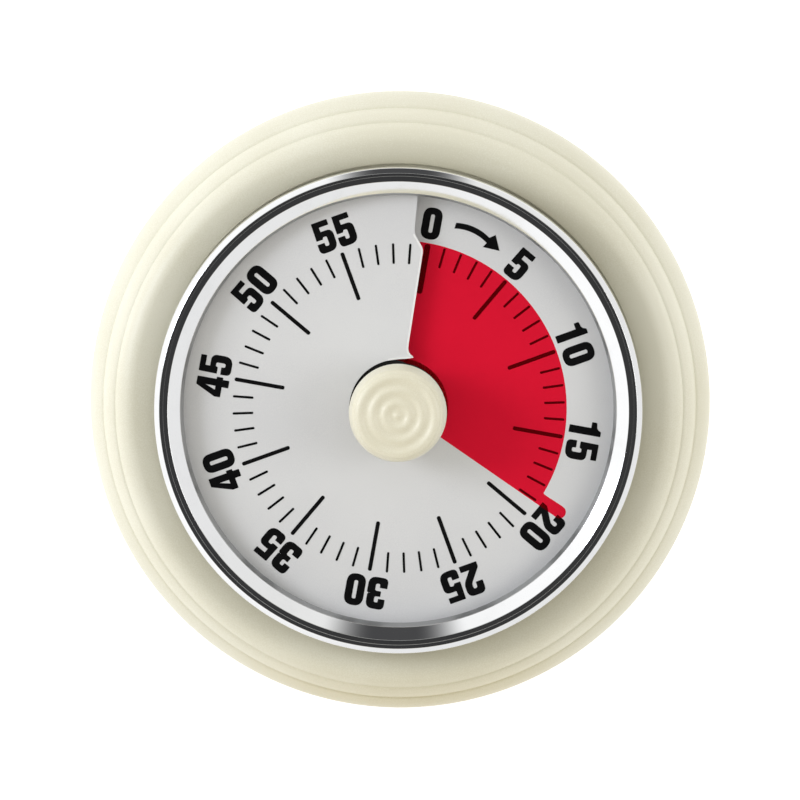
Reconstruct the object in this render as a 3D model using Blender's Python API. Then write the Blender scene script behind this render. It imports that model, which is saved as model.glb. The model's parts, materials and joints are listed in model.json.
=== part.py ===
"""A sixty-minute kitchen timer: a round magnetic case, a spring movement and a red disc that screws
down through a slit in its dial. Metres, +Z out of the dial, +Y towards the 0 mark, origin at the
middle of the back."""

import math

import bmesh
import bpy
from mathutils import Matrix, Vector

MM = 0.001
TURN = 2 * math.pi
AROUND = 48  # sides of a large round piece
AROUND_SMALL = 14  # sides of a small one

# Case
CASE_RADIUS = 40.0 * MM
PARTING_Z = 8.0 * MM
GAP = 0.3 * MM
OPENING_RADIUS = 31.2 * MM
LEDGE_Z = 17.6 * MM
BACK_Z = 0.4 * MM
COVER_RADIUS = 20.0 * MM
COVER_THICKNESS = 1.0 * MM
FOOT_INNER = 27.0 * MM
FOOT_OUTER = 33.0 * MM
MAGNET_RADIUS = 6.0 * MM
MAGNET_PLACE = 11.0 * MM
CASE_SCREW_PLACE = 30.0 * MM
CASE_SCREW_ANGLES = (60, 180, 300)

# Bezel
BEZEL_OUTER = 31.42 * MM
BEZEL_INNER = 27.6 * MM
BEZEL_TOP = 25.0 * MM

# Dial and time disc: both are one turn of a screw surface, half a pitch apart
PITCH = 2.0 * MM
DIAL_Z = 19.6 * MM
DIAL_THICKNESS = 0.4 * MM
DIAL_HOLE = 6.0 * MM
DIAL_RADIUS = 28.7 * MM
DIAL_START = -8.0
FLAP_EDGE = 358.7
FLAP_CUT_BACK = 355.0
DISC_THICKNESS = 0.25 * MM
DISC_INNER = 5.2 * MM
DISC_RADIUS = 21.6 * MM
TAB_RADIUS = 25.3 * MM
SET_ANGLE = 114.6  # where the disc stands at rest, degrees past 0
DISC_SPAN = 372.0

# Knob and arbor
KNOB_RADIUS = 6.33 * MM
KNOB_BOTTOM = 23.6 * MM
KNOB_TOP = 30.5 * MM
SQUARE = 2.2 * MM
HUB_RADIUS = 4.9 * MM

# Movement
PLATE_RADIUS = 26.0 * MM
BACK_PLATE = (8.4 * MM, 9.2 * MM)
FRONT_PLATE = (15.2 * MM, 16.0 * MM)
GREAT_LAYER = (9.6 * MM, 10.4 * MM)
RATCHET_LAYER = (10.7 * MM, 11.3 * MM)
THIRD_LAYER = (10.9 * MM, 11.5 * MM)
SECOND_LAYER = (12.0 * MM, 12.7 * MM)
SPRING_LAYER = (11.7 * MM, 14.7 * MM)
ESCAPE_LAYER = (13.4 * MM, 14.1 * MM)
TRIP_LAYER = (16.4 * MM, 17.1 * MM)
ARM_LAYER = (6.4 * MM, 7.3 * MM)
PINION_TEETH = 9
GREAT_TEETH, GREAT_MODULE = 54, 0.5 * MM
SECOND_TEETH, SECOND_MODULE = 36, 0.42 * MM
THIRD_TEETH, THIRD_MODULE = 36, 0.36 * MM
SECOND_PLACE = (15.75 * MM, 160.0)
THIRD_PLACE = (16.4 * MM, 125.9)
ESCAPE_PLACE = (16.8 * MM, 97.7)
BALANCE_PLACE = (17.0 * MM, 72.2)
HAMMER_PLACE = (16.0 * MM, 305.0)
PILLAR_PLACE = 20.0 * MM
PILLAR_ANGLES = (40, 190, 270)
MOVEMENT_SCREW_PLACE = 24.2 * MM
MOVEMENT_SCREW_ANGLES = (15, 135, 255)

COLOURS = {
    "cream": ((0.82, 0.80, 0.66), 0.35, 0.0),
    "chrome": ((0.85, 0.85, 0.86), 0.08, 1.0),
    "white": ((0.78, 0.78, 0.79), 0.45, 0.0),
    "red": ((0.72, 0.01, 0.03), 0.25, 0.0),
    "brass": ((0.75, 0.55, 0.22), 0.3, 1.0),
    "steel": ((0.56, 0.57, 0.58), 0.3, 1.0),
    "blue_steel": ((0.12, 0.15, 0.22), 0.35, 1.0),
    "magnet": ((0.08, 0.08, 0.08), 0.5, 0.3),
    "rubber": ((0.75, 0.73, 0.62), 0.8, 0.0),
    "grey": ((0.45, 0.45, 0.46), 0.5, 0.0),
}


def clear_scene():
    for obj in list(bpy.data.objects):
        bpy.data.objects.remove(obj, do_unlink=True)


def material(name, colour):
    rgb, roughness, metallic = COLOURS[colour]
    made = bpy.data.materials.new(name)
    made.use_nodes = True
    shader = made.node_tree.nodes["Principled BSDF"]
    shader.inputs["Base Color"].default_value = (*rgb, 1.0)
    shader.inputs["Roughness"].default_value = roughness
    shader.inputs["Metallic"].default_value = metallic
    return made


def polar(radius, degrees):
    angle = math.radians(degrees)
    return Vector((radius * math.cos(angle), radius * math.sin(angle), 0))


def finish(name, bm, colour, place=(0, 0, 0), parent=None):
    """The bmesh as a named object with its own material, its origin at place."""
    bmesh.ops.recalc_face_normals(bm, faces=bm.faces)
    mesh = bpy.data.meshes.new(name)
    bm.to_mesh(mesh)
    bm.free()
    mesh.shade_smooth()
    mesh.set_sharp_from_angle(angle=math.radians(35))
    obj = bpy.data.objects.new(name, mesh)
    obj.location = place
    obj.parent = parent
    obj.data.materials.append(material(name, colour))
    bpy.context.scene.collection.objects.link(obj)
    return obj


def lathe_into(bm, profile, around, centre=(0, 0, 0)):
    """Turns a closed profile of (radius, height) points about a line along Z through centre."""
    centre = Vector(centre)
    ring = [bm.verts.new(centre + Vector((r, 0, z))) for r, z in profile]
    edges = [bm.edges.new((a, b)) for a, b in zip(ring, ring[1:] + ring[:1])
             if not (abs(a.co.x - centre.x) < 1e-9 and abs(b.co.x - centre.x) < 1e-9)]
    bmesh.ops.spin(
        bm, geom=ring + edges, cent=centre, axis=(0, 0, 1), angle=TURN, steps=around, use_merge=True
    )
    bmesh.ops.remove_doubles(bm, verts=bm.verts, dist=1e-7)


def lathe(name, profile, colour, around=AROUND, **kind):
    bm = bmesh.new()
    lathe_into(bm, profile, around)
    return finish(name, bm, colour, **kind)


def rod(radius, bottom, top):
    """The profile of a solid round rod on its own axis."""
    return [(0, bottom), (radius, bottom), (radius, top), (0, top)]


def stepped(*steps):
    """The profile of a turned shaft: (radius, bottom, top) of each step, from the lowest up."""
    points = [(0, steps[0][1])]
    for radius, bottom, top in steps:
        points += [(radius, bottom), (radius, top)]
    return points + [(0, steps[-1][2])]


def circle(radius, around, centre=(0, 0), turn=0.0):
    return [
        (
            centre[0] + radius * math.cos(turn + TURN * i / around),
            centre[1] + radius * math.sin(turn + TURN * i / around),
        )
        for i in range(around)
    ]


def slab_into(bm, outline, layer, holes=()):
    """Fills an outline, less its holes, and gives it the thickness of layer (bottom, top)."""
    bottom, top = layer
    edges = []
    for loop in (outline, *holes):
        verts = [bm.verts.new((x, y, bottom)) for x, y in loop]
        edges += [bm.edges.new(pair) for pair in zip(verts, verts[1:] + verts[:1])]
    filled = bmesh.ops.triangle_fill(bm, edges=edges, use_beauty=True)
    faces = [f for f in filled["geom"] if isinstance(f, bmesh.types.BMFace)]
    raised = bmesh.ops.extrude_face_region(bm, geom=faces, use_keep_orig=True)
    verts = [v for v in raised["geom"] if isinstance(v, bmesh.types.BMVert)]
    bmesh.ops.translate(bm, verts=verts, vec=(0, 0, top - bottom))


def slab(name, outline, layer, colour, holes=(), **kind):
    bm = bmesh.new()
    slab_into(bm, outline, layer, holes)
    return finish(name, bm, colour, **kind)


def helper(name, build):
    """A hidden shape that only cuts or joins."""
    bm = bmesh.new()
    build(bm)
    obj = finish(name, bm, "grey")
    obj.hide_render = True
    obj.display_type = "WIRE"
    return obj


def combine(obj, other, operation):
    modifier = obj.modifiers.new(operation.lower(), "BOOLEAN")
    modifier.operation = operation
    modifier.object = other
    modifier.solver = "EXACT"
    other.parent = obj.parent
    other.location = obj.location


def teeth(count, module, flank):
    """A gear outline. A flank lists (height off the pitch circle in modules, width as a share of one
    tooth's step) from the root to the tip."""
    radius = count * module / 2
    points = []
    for i in range(count):
        points += [(radius + height * module, i - width / 2) for height, width in flank]
        points += [(radius + height * module, i + width / 2) for height, width in reversed(flank)]
    step = TURN / count
    return [(r * math.cos(a * step), r * math.sin(a * step)) for r, a in points]


def wheel_teeth(count, module):
    return teeth(count, module, ((-1.1, 0.56), (0.8, 0.18)))


def pinion_teeth(module):
    return teeth(PINION_TEETH, module, ((-1.2, 0.33), (0, 0.34), (0.6, 0.16)))


def turned(points, degrees):
    turn = Matrix.Rotation(math.radians(degrees), 2)
    return [tuple(turn @ Vector(point)) for point in points]


def stadium(start, end, radius, around=6):
    """The outline of a bar with round ends from start to end."""
    along = Vector(end) - Vector(start)
    heading = math.atan2(along.y, along.x)
    points = []
    for centre, turn in ((end, heading - TURN / 4), (start, heading + TURN / 4)):
        for i in range(around + 1):
            angle = turn + math.pi * i / around
            across = radius * math.cos(angle), radius * math.sin(angle)
            points.append((centre[0] + across[0], centre[1] + across[1]))
    return points


def screw_height(degrees):
    """How far the screw surface has risen, this many degrees clockwise from the 0 mark."""
    return PITCH * degrees / 360.0


def clockwise(radius, degrees):
    """The point at radius, this many degrees clockwise from the 0 mark."""
    return polar(radius, 90.0 - degrees)


def screw_sheet(stations, height, thickness):
    """A closed sheet on the screw surface. Each station is a list of (radius, degrees) from the middle
    out, and all of them have the same number of points."""
    bm = bmesh.new()
    layers = []
    for side in (-0.5, 0.5):
        rows = []
        for station in stations:
            rows.append([
                bm.verts.new(
                    clockwise(r, degrees)
                    + Vector((0, 0, height + screw_height(degrees) + side * thickness))
                )
                for r, degrees in station
            ])
        layers.append(rows)
    low, high = layers
    last, width = len(stations) - 1, len(stations[0]) - 1
    for i in range(last):
        for j in range(width):
            for rows in (low, high):
                bm.faces.new((rows[i][j], rows[i + 1][j], rows[i + 1][j + 1], rows[i][j + 1]))
        for j in (0, width):
            bm.faces.new((low[i][j], low[i + 1][j], high[i + 1][j], high[i][j]))
    for i in (0, last):
        for j in range(width):
            bm.faces.new((low[i][j], low[i][j + 1], high[i][j + 1], high[i][j]))
    return bm


def front_shell():
    widest, lower_step, upper_step = (CASE_RADIUS, 11.0 * MM), 14.8 * MM, 17.8 * MM
    outer = [(39.7 * MM, PARTING_Z + GAP), (39.95 * MM, 9.6 * MM), widest]
    outer += arc(widest, (38.35 * MM, lower_step), 0.4 * MM, 3)
    outer += [(38.15 * MM, lower_step + 0.05 * MM)]
    outer += arc(outer[-1], (36.75 * MM, upper_step - 0.05 * MM), 0.3 * MM, 2)
    outer += [(36.5 * MM, upper_step)]
    outer += arc(outer[-1], (34.2 * MM, 19.5 * MM), 0.45 * MM, 3)
    cove = arc(outer[-1], (OPENING_RADIUS, 18.1 * MM), -0.3 * MM, 3)
    inner = [
        (OPENING_RADIUS, LEDGE_Z),
        (29.0 * MM, LEDGE_Z),
        (29.0 * MM, 15.8 * MM),
        (32.6 * MM, 15.8 * MM),
        (34.2 * MM, 17.1 * MM),
        (36.0 * MM, 15.0 * MM),
        (37.6 * MM, 12.0 * MM),
        (37.4 * MM, PARTING_Z + GAP),
    ]
    shell = lathe("front_shell", outer + cove + inner, "cream")
    boss_bottom = PARTING_Z + GAP

    def bosses(bm):
        for degrees in CASE_SCREW_ANGLES:
            centre = polar(CASE_SCREW_PLACE, degrees)
            lathe_into(bm, rod(3.0 * MM, boss_bottom, 16.0 * MM), AROUND_SMALL, centre)

    def bores(bm):
        for degrees in CASE_SCREW_ANGLES:
            centre = polar(CASE_SCREW_PLACE, degrees)
            lathe_into(bm, rod(1.5 * MM, boss_bottom - MM, 15.2 * MM), AROUND_SMALL, centre)

    combine(shell, helper("front_bosses", bosses), "UNION")
    combine(shell, helper("front_bores", bores), "DIFFERENCE")


def arc(start, end, bulge, count):
    """Points after start, up to end, on a curve that bows by bulge to the right of the way there."""
    start, end = Vector(start), Vector(end)
    along = end - start
    side = Vector((along.y, -along.x)).normalized()
    return [
        tuple(start + along * t + side * bulge * 4 * t * (1 - t))
        for t in ((i + 1) / count for i in range(count))
    ]


def rear_shell():
    profile = [
        (COVER_RADIUS + GAP, BACK_Z),
        (FOOT_INNER - GAP, BACK_Z),
        (FOOT_INNER - GAP, 1.6 * MM),
        (FOOT_OUTER + GAP, 1.6 * MM),
        (FOOT_OUTER + GAP, BACK_Z),
        (36.2 * MM, BACK_Z),
    ]
    profile += arc((36.2 * MM, BACK_Z), (39.4 * MM, 5.0 * MM), 0.8 * MM, 3)
    profile += [
        (39.7 * MM, PARTING_Z),
        (37.4 * MM, PARTING_Z),
        (37.0 * MM, 5.6 * MM),
        (35.2 * MM, 3.4 * MM),
        (24.2 * MM, 3.4 * MM),
        (23.4 * MM, 4.6 * MM),
        (0, 4.6 * MM),
        (0, COVER_THICKNESS + GAP),
        (COVER_RADIUS + GAP, COVER_THICKNESS + GAP),
    ]
    shell = lathe("rear_shell", profile, "cream")

    def bosses(bm):
        for degrees in CASE_SCREW_ANGLES:
            centre = polar(CASE_SCREW_PLACE, degrees)
            lathe_into(bm, rod(3.4 * MM, 2.6 * MM, PARTING_Z), AROUND_SMALL, centre)

    def bores(bm):
        for degrees in CASE_SCREW_ANGLES:
            centre = polar(CASE_SCREW_PLACE, degrees)
            bore = stepped((2.6 * MM, 0.5 * MM, 3.6 * MM), (1.5 * MM, 3.6 * MM, 9.0 * MM))
            lathe_into(bm, bore, AROUND_SMALL, centre)
        for side in (-1, 1):
            centre = (side * MAGNET_PLACE, 0, 0)
            lathe_into(bm, rod(MAGNET_RADIUS + GAP, 0.6 * MM, 3.6 * MM), 32, centre)

    combine(shell, helper("rear_bosses", bosses), "UNION")
    combine(shell, helper("rear_bores", bores), "DIFFERENCE")


def case_fittings():
    lathe("back_cover", rod(COVER_RADIUS, 0, COVER_THICKNESS), "cream", 48)
    for side, name in ((-1, "magnet_left"), (1, "magnet_right")):
        bottom = COVER_THICKNESS + GAP
        profile = rod(MAGNET_RADIUS, bottom, bottom + 2.0 * MM)
        lathe(name, profile, "magnet", 28, place=(side * MAGNET_PLACE, 0, 0))
    ring = [(FOOT_INNER, 0), (FOOT_OUTER, 0), (FOOT_OUTER, 1.3 * MM), (FOOT_INNER, 1.3 * MM)]
    lathe("foot_ring", ring, "rubber")
    for number, degrees in enumerate(CASE_SCREW_ANGLES, 1):
        profile = stepped((2.3 * MM, 1.9 * MM, 3.3 * MM), (1.2 * MM, 3.3 * MM, 14.6 * MM))
        place = polar(CASE_SCREW_PLACE, degrees)
        lathe(f"case_screw_{number}", profile, "steel", AROUND_SMALL, place=place)


def bezel_ring():
    profile = [
        (30.2 * MM, LEDGE_Z + GAP),
        (30.9 * MM, LEDGE_Z + GAP),
        (30.9 * MM, 22.9 * MM),
        (31.25 * MM, 23.4 * MM),
        (BEZEL_OUTER, 24.0 * MM),
        (31.3 * MM, 24.5 * MM),
        (31.05 * MM, 24.85 * MM),
        (30.65 * MM, BEZEL_TOP),
        (29.6 * MM, BEZEL_TOP),
        (28.0 * MM, 23.6 * MM),
        (BEZEL_INNER, 22.2 * MM),
        (30.2 * MM, 22.2 * MM),
    ]
    lathe("bezel_ring", profile, "chrome", 56)


def dial_seat():
    """The ring under the dial. Its ledge follows the dial's screw surface."""
    bm = bmesh.new()
    rings = []
    degrees = [DIAL_START - 2.0 + 360.0 * i / AROUND for i in range(AROUND + 1)]
    for angle in degrees:
        ledge = DIAL_Z + screw_height(angle) - DIAL_THICKNESS / 2 - GAP
        profile = [
            (22.8 * MM, 16.3 * MM),
            (28.6 * MM, 16.3 * MM),
            (28.6 * MM, LEDGE_Z + GAP),
            (29.9 * MM, LEDGE_Z + GAP),
            (29.9 * MM, 21.9 * MM),
            (29.1 * MM, 21.9 * MM),
            (29.1 * MM, ledge),
            (26.2 * MM, ledge),
            (26.2 * MM, 17.5 * MM),
            (22.8 * MM, 17.5 * MM),
        ]
        # The last ring stands just short of the first, and the ledge drops one pitch between them.
        shown = angle - 1.0 if angle == degrees[-1] else angle
        rings.append([bm.verts.new(clockwise(r, shown) + Vector((0, 0, z))) for r, z in profile])
    count = len(rings[0])
    for first, second in zip(rings, rings[1:] + rings[:1]):
        for j in range(count):
            k = (j + 1) % count
            bm.faces.new((first[j], first[k], second[k], second[j]))
    seat = finish("dial_seat", bm, "grey")

    def bores(cutter):
        for angle in MOVEMENT_SCREW_ANGLES:
            centre = polar(MOVEMENT_SCREW_PLACE, angle)
            lathe_into(cutter, rod(1.2 * MM, 15.8 * MM, 18.2 * MM), 12, centre)

    combine(seat, helper("seat_bores", bores), "DIFFERENCE")


def dial_plate():
    """The printed dial: it starts under its own end, which stands above the slit as a flap."""
    count = AROUND
    ends = (
        (DIAL_HOLE, FLAP_EDGE),
        (20.8 * MM, FLAP_EDGE),
        (22.7 * MM, FLAP_CUT_BACK),
        (DIAL_RADIUS, FLAP_CUT_BACK),
    )
    stations = [
        [(r, DIAL_START + (end - DIAL_START) * i / count) for r, end in ends]
        for i in range(count + 1)
    ]
    finish("dial_plate", screw_sheet(stations, DIAL_Z, DIAL_THICKNESS), "white")


def time_disc(parent):
    """The red disc, with the pointer tab on its leading edge."""
    start = SET_ANGLE - DISC_SPAN
    tab = SET_ANGLE - 4.3
    count = AROUND
    radii = [(start + (tab - start) * i / count, DISC_RADIUS) for i in range(count + 1)]
    radii += [(SET_ANGLE - 3.9, 24.6 * MM), (SET_ANGLE - 3.1, TAB_RADIUS), (SET_ANGLE, TAB_RADIUS)]
    stations = [[(DISC_INNER, degrees), (outer, degrees)] for degrees, outer in radii]
    sheet = screw_sheet(stations, DIAL_Z + PITCH / 2, DISC_THICKNESS)
    finish("time_disc", sheet, "red", parent=parent)


def square(side):
    half = side / 2
    return [(half, half), (-half, half), (-half, -half), (half, -half)]


def square_bore(obj, bottom, top):
    """Cuts the hole that fits the arbor's square."""
    cutter = helper(
        obj.name + "_bore", lambda bm: slab_into(bm, square(SQUARE + 2 * GAP), (bottom, top))
    )
    combine(obj, cutter, "DIFFERENCE")


def knob_profile():
    rim = [
        (0, KNOB_BOTTOM),
        (5.9 * MM, KNOB_BOTTOM),
        (KNOB_RADIUS, KNOB_BOTTOM + 0.4 * MM),
        (KNOB_RADIUS, 29.0 * MM),
        (6.15 * MM, 29.7 * MM),
        (5.5 * MM, 30.1 * MM),
    ]
    top = []
    for share in (0.77, 0.5, 0.25):
        middle = share * KNOB_RADIUS
        top += [(middle + 0.3 * MM, KNOB_TOP), (middle - 0.3 * MM, KNOB_TOP)]
        top += [(middle - 0.75 * MM, KNOB_TOP - 0.3 * MM)]
    return rim + top + [(0, KNOB_TOP - 0.4 * MM)]


def main_body():
    """Everything that turns with the knob."""
    pivot = bpy.data.objects.new("knob_pivot", None)
    bpy.context.scene.collection.objects.link(pivot)
    profile = stepped(
        (1.0 * MM, 8.5 * MM, 9.4 * MM),
        (1.6 * MM, 9.4 * MM, 15.0 * MM),
        (1.3 * MM, 15.0 * MM, 16.2 * MM),
    )
    arbor = lathe("main_arbor", profile, "steel", AROUND_SMALL, parent=pivot)
    top = helper("main_arbor_square", lambda bm: slab_into(bm, square(SQUARE), (15.6 * MM, 29.2 * MM)))
    combine(arbor, top, "UNION")
    knob = lathe("setting_knob", knob_profile(), "cream", 28, parent=pivot)
    square_bore(knob, KNOB_BOTTOM - MM, 29.5 * MM)
    hole = circle(1.6 * MM + GAP, AROUND_SMALL)
    facing = 90.0 - SECOND_PLACE[1]
    outline = turned(wheel_teeth(GREAT_TEETH, GREAT_MODULE), -facing + 90.0)
    slab("great_wheel", outline, GREAT_LAYER, "brass", [hole], parent=pivot)
    ratchet = []
    for i in range(12):
        ratchet += [(3.7 * MM, TURN * i / 12), (2.8 * MM, TURN * (i + 0.12) / 12)]
    outline = [(r * math.cos(a), r * math.sin(a)) for r, a in ratchet]
    slab("ratchet_wheel", outline, RATCHET_LAYER, "steel", [hole], parent=pivot)
    click = [(4.15, 0.4), (5.2, -0.5), (8.6, -0.9), (9.3, 0.0), (9.1, 1.2), (8.0, 1.4), (5.0, 0.9)]
    outline = [(x * MM, y * MM) for x, y in click]
    slab("ratchet_click", outline, RATCHET_LAYER, "blue_steel", parent=pivot)
    cam = [
        (4.6 * MM if i != 17 else 3.2 * MM, TURN * i / 24)
        for i in range(24)
    ]
    outline = [(r * math.cos(a), r * math.sin(a)) for r, a in cam]
    bore = square(SQUARE + 2 * GAP)
    slab("striker_cam", outline, TRIP_LAYER, "brass", [bore], parent=pivot)
    clip_layer = (TRIP_LAYER[1] + GAP, TRIP_LAYER[1] + 0.8 * MM)
    slab("arbor_clip", circle(2.8 * MM, 16), clip_layer, "blue_steel", [bore], parent=pivot)
    hub_bottom = DIAL_Z + PITCH / 2 + screw_height(SET_ANGLE - DISC_SPAN) - 0.5 * MM
    hub_top = DIAL_Z + PITCH / 2 + screw_height(SET_ANGLE) + 0.5 * MM
    hub = lathe("disc_hub", rod(HUB_RADIUS, hub_bottom, hub_top), "grey", 32, parent=pivot)
    square_bore(hub, hub_bottom - MM, hub_top + MM)
    time_disc(pivot)


def mainspring():
    """A spiral ribbon, hooked over a fixed pin at its outer end."""
    inner, outer, turns, half = 2.3 * MM, 6.9 * MM, 5, 0.13 * MM
    count = turns * 14
    sides = ([], [])
    for i in range(count + 1):
        share = i / count
        angle = TURN * turns * share + math.radians(200)
        middle = inner + (outer - inner) * share
        for side, offset in zip(sides, (-half, half)):
            r = middle + offset
            side.append((r * math.cos(angle), r * math.sin(angle)))
    slab("mainspring", sides[0] + sides[1][::-1], SPRING_LAYER, "blue_steel")
    pin = stepped((0.6 * MM, 11.6 * MM, 15.4 * MM))
    lathe("spring_hook_pin", pin, "steel", 12, place=polar(8.0 * MM, 215))


def plates():
    staffs = (SECOND_PLACE, THIRD_PLACE, ESCAPE_PLACE, BALANCE_PLACE)
    pillar_holes = [
        circle(1.3 * MM, 12, polar(PILLAR_PLACE, degrees)) for degrees in PILLAR_ANGLES
    ]
    pivot_holes = [circle(0.7 * MM, 10, polar(*place)) for place in staffs]
    hammer_hole = circle(1.1 * MM, 12, polar(*HAMMER_PLACE))
    back_holes = [circle(1.3 * MM, AROUND_SMALL), hammer_hole, *pillar_holes, *pivot_holes]
    outline = circle(PLATE_RADIUS, 48)
    slab("back_plate", outline, BACK_PLATE, "brass", back_holes)
    screw_holes = [
        circle(1.2 * MM, 12, polar(MOVEMENT_SCREW_PLACE, degrees))
        for degrees in MOVEMENT_SCREW_ANGLES
    ]
    pin_hole = circle(0.9 * MM, 10, polar(8.0 * MM, 215))
    front_holes = [circle(1.6 * MM, AROUND_SMALL), hammer_hole, pin_hole]
    front_holes += [*pillar_holes, *pivot_holes, *screw_holes]
    slab("front_plate", outline, FRONT_PLATE, "brass", front_holes)
    for number, degrees in enumerate(PILLAR_ANGLES, 1):
        place = polar(PILLAR_PLACE, degrees)
        profile = stepped(
            (1.0 * MM, 8.5 * MM, BACK_PLATE[1] + GAP),
            (1.5 * MM, BACK_PLATE[1] + GAP, FRONT_PLATE[0] - GAP),
            (1.0 * MM, FRONT_PLATE[0] - GAP, 17.2 * MM),
        )
        lathe(f"plate_pillar_{number}", profile, "brass", 14, place=place)
        layer = (FRONT_PLATE[1] + GAP, FRONT_PLATE[1] + 1.1 * MM)
        bore = circle(1.3 * MM, 12)
        slab(f"plate_nut_{number}", circle(2.2 * MM, 6), layer, "steel", [bore], place=place)
    for number, degrees in enumerate(MOVEMENT_SCREW_ANGLES, 1):
        place = polar(MOVEMENT_SCREW_PLACE, degrees)
        profile = stepped((1.6 * MM, 13.9 * MM, 14.9 * MM), (0.9 * MM, 14.9 * MM, 17.3 * MM))
        lathe(f"movement_screw_{number}", profile, "steel", 14, place=place)


def staff(name, place, pinion_layer, module, turn):
    """A train arbor with its pinion cut on it, turned so that its teeth mesh."""
    centre = polar(*place)
    profile = stepped(
        (0.5 * MM, 8.5 * MM, 9.4 * MM), (0.75 * MM, 9.4 * MM, 15.0 * MM), (0.5 * MM, 15.0 * MM, 15.9 * MM)
    )
    shaft = lathe(name, profile, "steel", 12, place=centre)
    outline = turned(pinion_teeth(module), turn)
    combine(shaft, helper(name + "_pinion", lambda bm: slab_into(bm, outline, pinion_layer)), "UNION")
    return centre


def train():
    """Each wheel points a tooth at the next pinion, and each pinion a gap back at the wheel."""
    stages = (
        ("second", SECOND_PLACE, (0, 0.0), GREAT_LAYER, GREAT_MODULE, SECOND_LAYER),
        ("third", THIRD_PLACE, SECOND_PLACE, SECOND_LAYER, SECOND_MODULE, THIRD_LAYER),
        ("escape", ESCAPE_PLACE, THIRD_PLACE, THIRD_LAYER, THIRD_MODULE, ESCAPE_LAYER),
    )
    shapes = {
        "second": (SECOND_TEETH, SECOND_MODULE, THIRD_PLACE),
        "third": (THIRD_TEETH, THIRD_MODULE, ESCAPE_PLACE),
    }
    hole = circle(0.75 * MM + GAP, 12)
    for name, place, driver, layer, module, wheel_layer in stages:
        centre, back = polar(*place), polar(*driver)
        gap_turn = math.degrees(math.atan2(back.y - centre.y, back.x - centre.x)) + 180 / PINION_TEETH
        pinion_layer = (layer[0] - 0.2 * MM, layer[1] + 0.2 * MM)
        staff(f"{name}_arbor", place, pinion_layer, module, gap_turn)
        if name in shapes:
            count, wheel_module, onward = shapes[name]
            ahead = polar(*onward) - centre
            turn = math.degrees(math.atan2(ahead.y, ahead.x))
            outline = turned(wheel_teeth(count, wheel_module), turn)
            slab(f"{name}_wheel", outline, wheel_layer, "brass", [hole], place=centre)
    outline = []
    for i in range(15):
        outline += [(4.6 * MM, TURN * i / 15), (3.5 * MM, TURN * (i + 0.3) / 15)]
        outline += [(3.5 * MM, TURN * (i + 0.8) / 15)]
    outline = [(r * math.cos(a), r * math.sin(a)) for r, a in outline]
    slab("escape_wheel", outline, ESCAPE_LAYER, "brass", [hole], place=polar(*ESCAPE_PLACE))


def balance():
    """The balance staff carries the pallet fork above and a weighted bob below."""
    centre = polar(*BALANCE_PLACE)
    profile = stepped(
        (0.5 * MM, 8.5 * MM, 9.4 * MM), (0.75 * MM, 9.4 * MM, 15.0 * MM), (0.5 * MM, 15.0 * MM, 15.9 * MM)
    )
    lathe("balance_staff", profile, "steel", 12, place=centre)
    toward = polar(*ESCAPE_PLACE) - centre
    heading = math.degrees(math.atan2(toward.y, toward.x))
    hole = circle(0.75 * MM + GAP, 12)
    fork = [(-1.8, -0.9), (0.6, -1.9), (3.9, -4.9), (4.3, -4.3), (1.9, -0.9)]
    fork += [(1.9, 0.9), (4.3, 4.3), (3.9, 4.9), (0.6, 1.9), (-1.8, 0.9)]
    outline = turned([(x * MM, y * MM) for x, y in fork], heading)
    slab("pallet_fork", outline, ESCAPE_LAYER, "steel", [hole], place=centre)
    bob = stadium((-4.2 * MM, 0), (4.2 * MM, 0), 1.5 * MM)
    slab("balance_bob", bob, (THIRD_LAYER[0], 12.3 * MM), "brass", [hole], place=centre)


def hammer():
    centre = polar(*HAMMER_PLACE)
    lathe("hammer_staff", rod(0.8 * MM, 6.2 * MM, 17.3 * MM), "steel", 12, place=centre)
    hole = circle(0.8 * MM + GAP, 12)
    inward = math.degrees(math.atan2(-centre.y, -centre.x))
    trip = turned(stadium((0, 0), (9.6 * MM, 0), 1.5 * MM, 5), inward - 6.0)
    slab("trip_lever", trip, TRIP_LAYER, "steel", [hole], place=centre)
    arm = turned(stadium((0, 0), (8.2 * MM, 0), 1.5 * MM, 5), inward + 100.0)
    slab("hammer_arm", arm, ARM_LAYER, "steel", [hole], place=centre)
    leaf = stadium(polar(20.5 * MM, 335), polar(11.5 * MM, 318), 0.25 * MM, 3)
    slab("hammer_spring", leaf, TRIP_LAYER, "blue_steel")


def bell():
    gong = [
        (1.5, 6.4), (3.8, 6.4), (6.8, 5.1), (20.6, 5.1), (22.3, 5.7), (22.9, 7.0), (22.9, 7.9),
        (22.4, 7.9), (22.4, 7.1), (21.9, 6.1), (20.4, 5.6), (7.0, 5.6), (4.1, 6.9), (1.5, 6.9),
    ]
    lathe("bell_gong", [(r * MM, z * MM) for r, z in gong], "steel", 36)
    post = stepped((1.1 * MM, 5.0 * MM, 7.2 * MM), (2.8 * MM, 7.2 * MM, 8.1 * MM))
    lathe("bell_post", post, "steel", 16)
    slab("bell_nut", circle(2.4 * MM, 6), (5.0 * MM, 6.1 * MM), "brass", [circle(1.4 * MM, 12)])


def build():
    clear_scene()
    front_shell()
    rear_shell()
    case_fittings()
    bezel_ring()
    dial_seat()
    dial_plate()
    main_body()
    mainspring()
    plates()
    train()
    balance()
    hammer()
    bell()


build()
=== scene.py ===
# %% [markdown]
# # A sixty-minute kitchen timer
# A round cream case holds a chrome bezel, a printed dial and a cream knob. A red film hangs on the
# knob's arbor and screws down through a slit in the dial, so the red that shows is the time left.
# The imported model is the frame: every part below is made around it, in metres, with the origin at
# the middle of the back, +Z out of the dial and +Y towards the 0 mark.

# %% Load the frame
import json
import math

import bmesh
import bpy
from mathutils import Matrix, Vector


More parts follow.
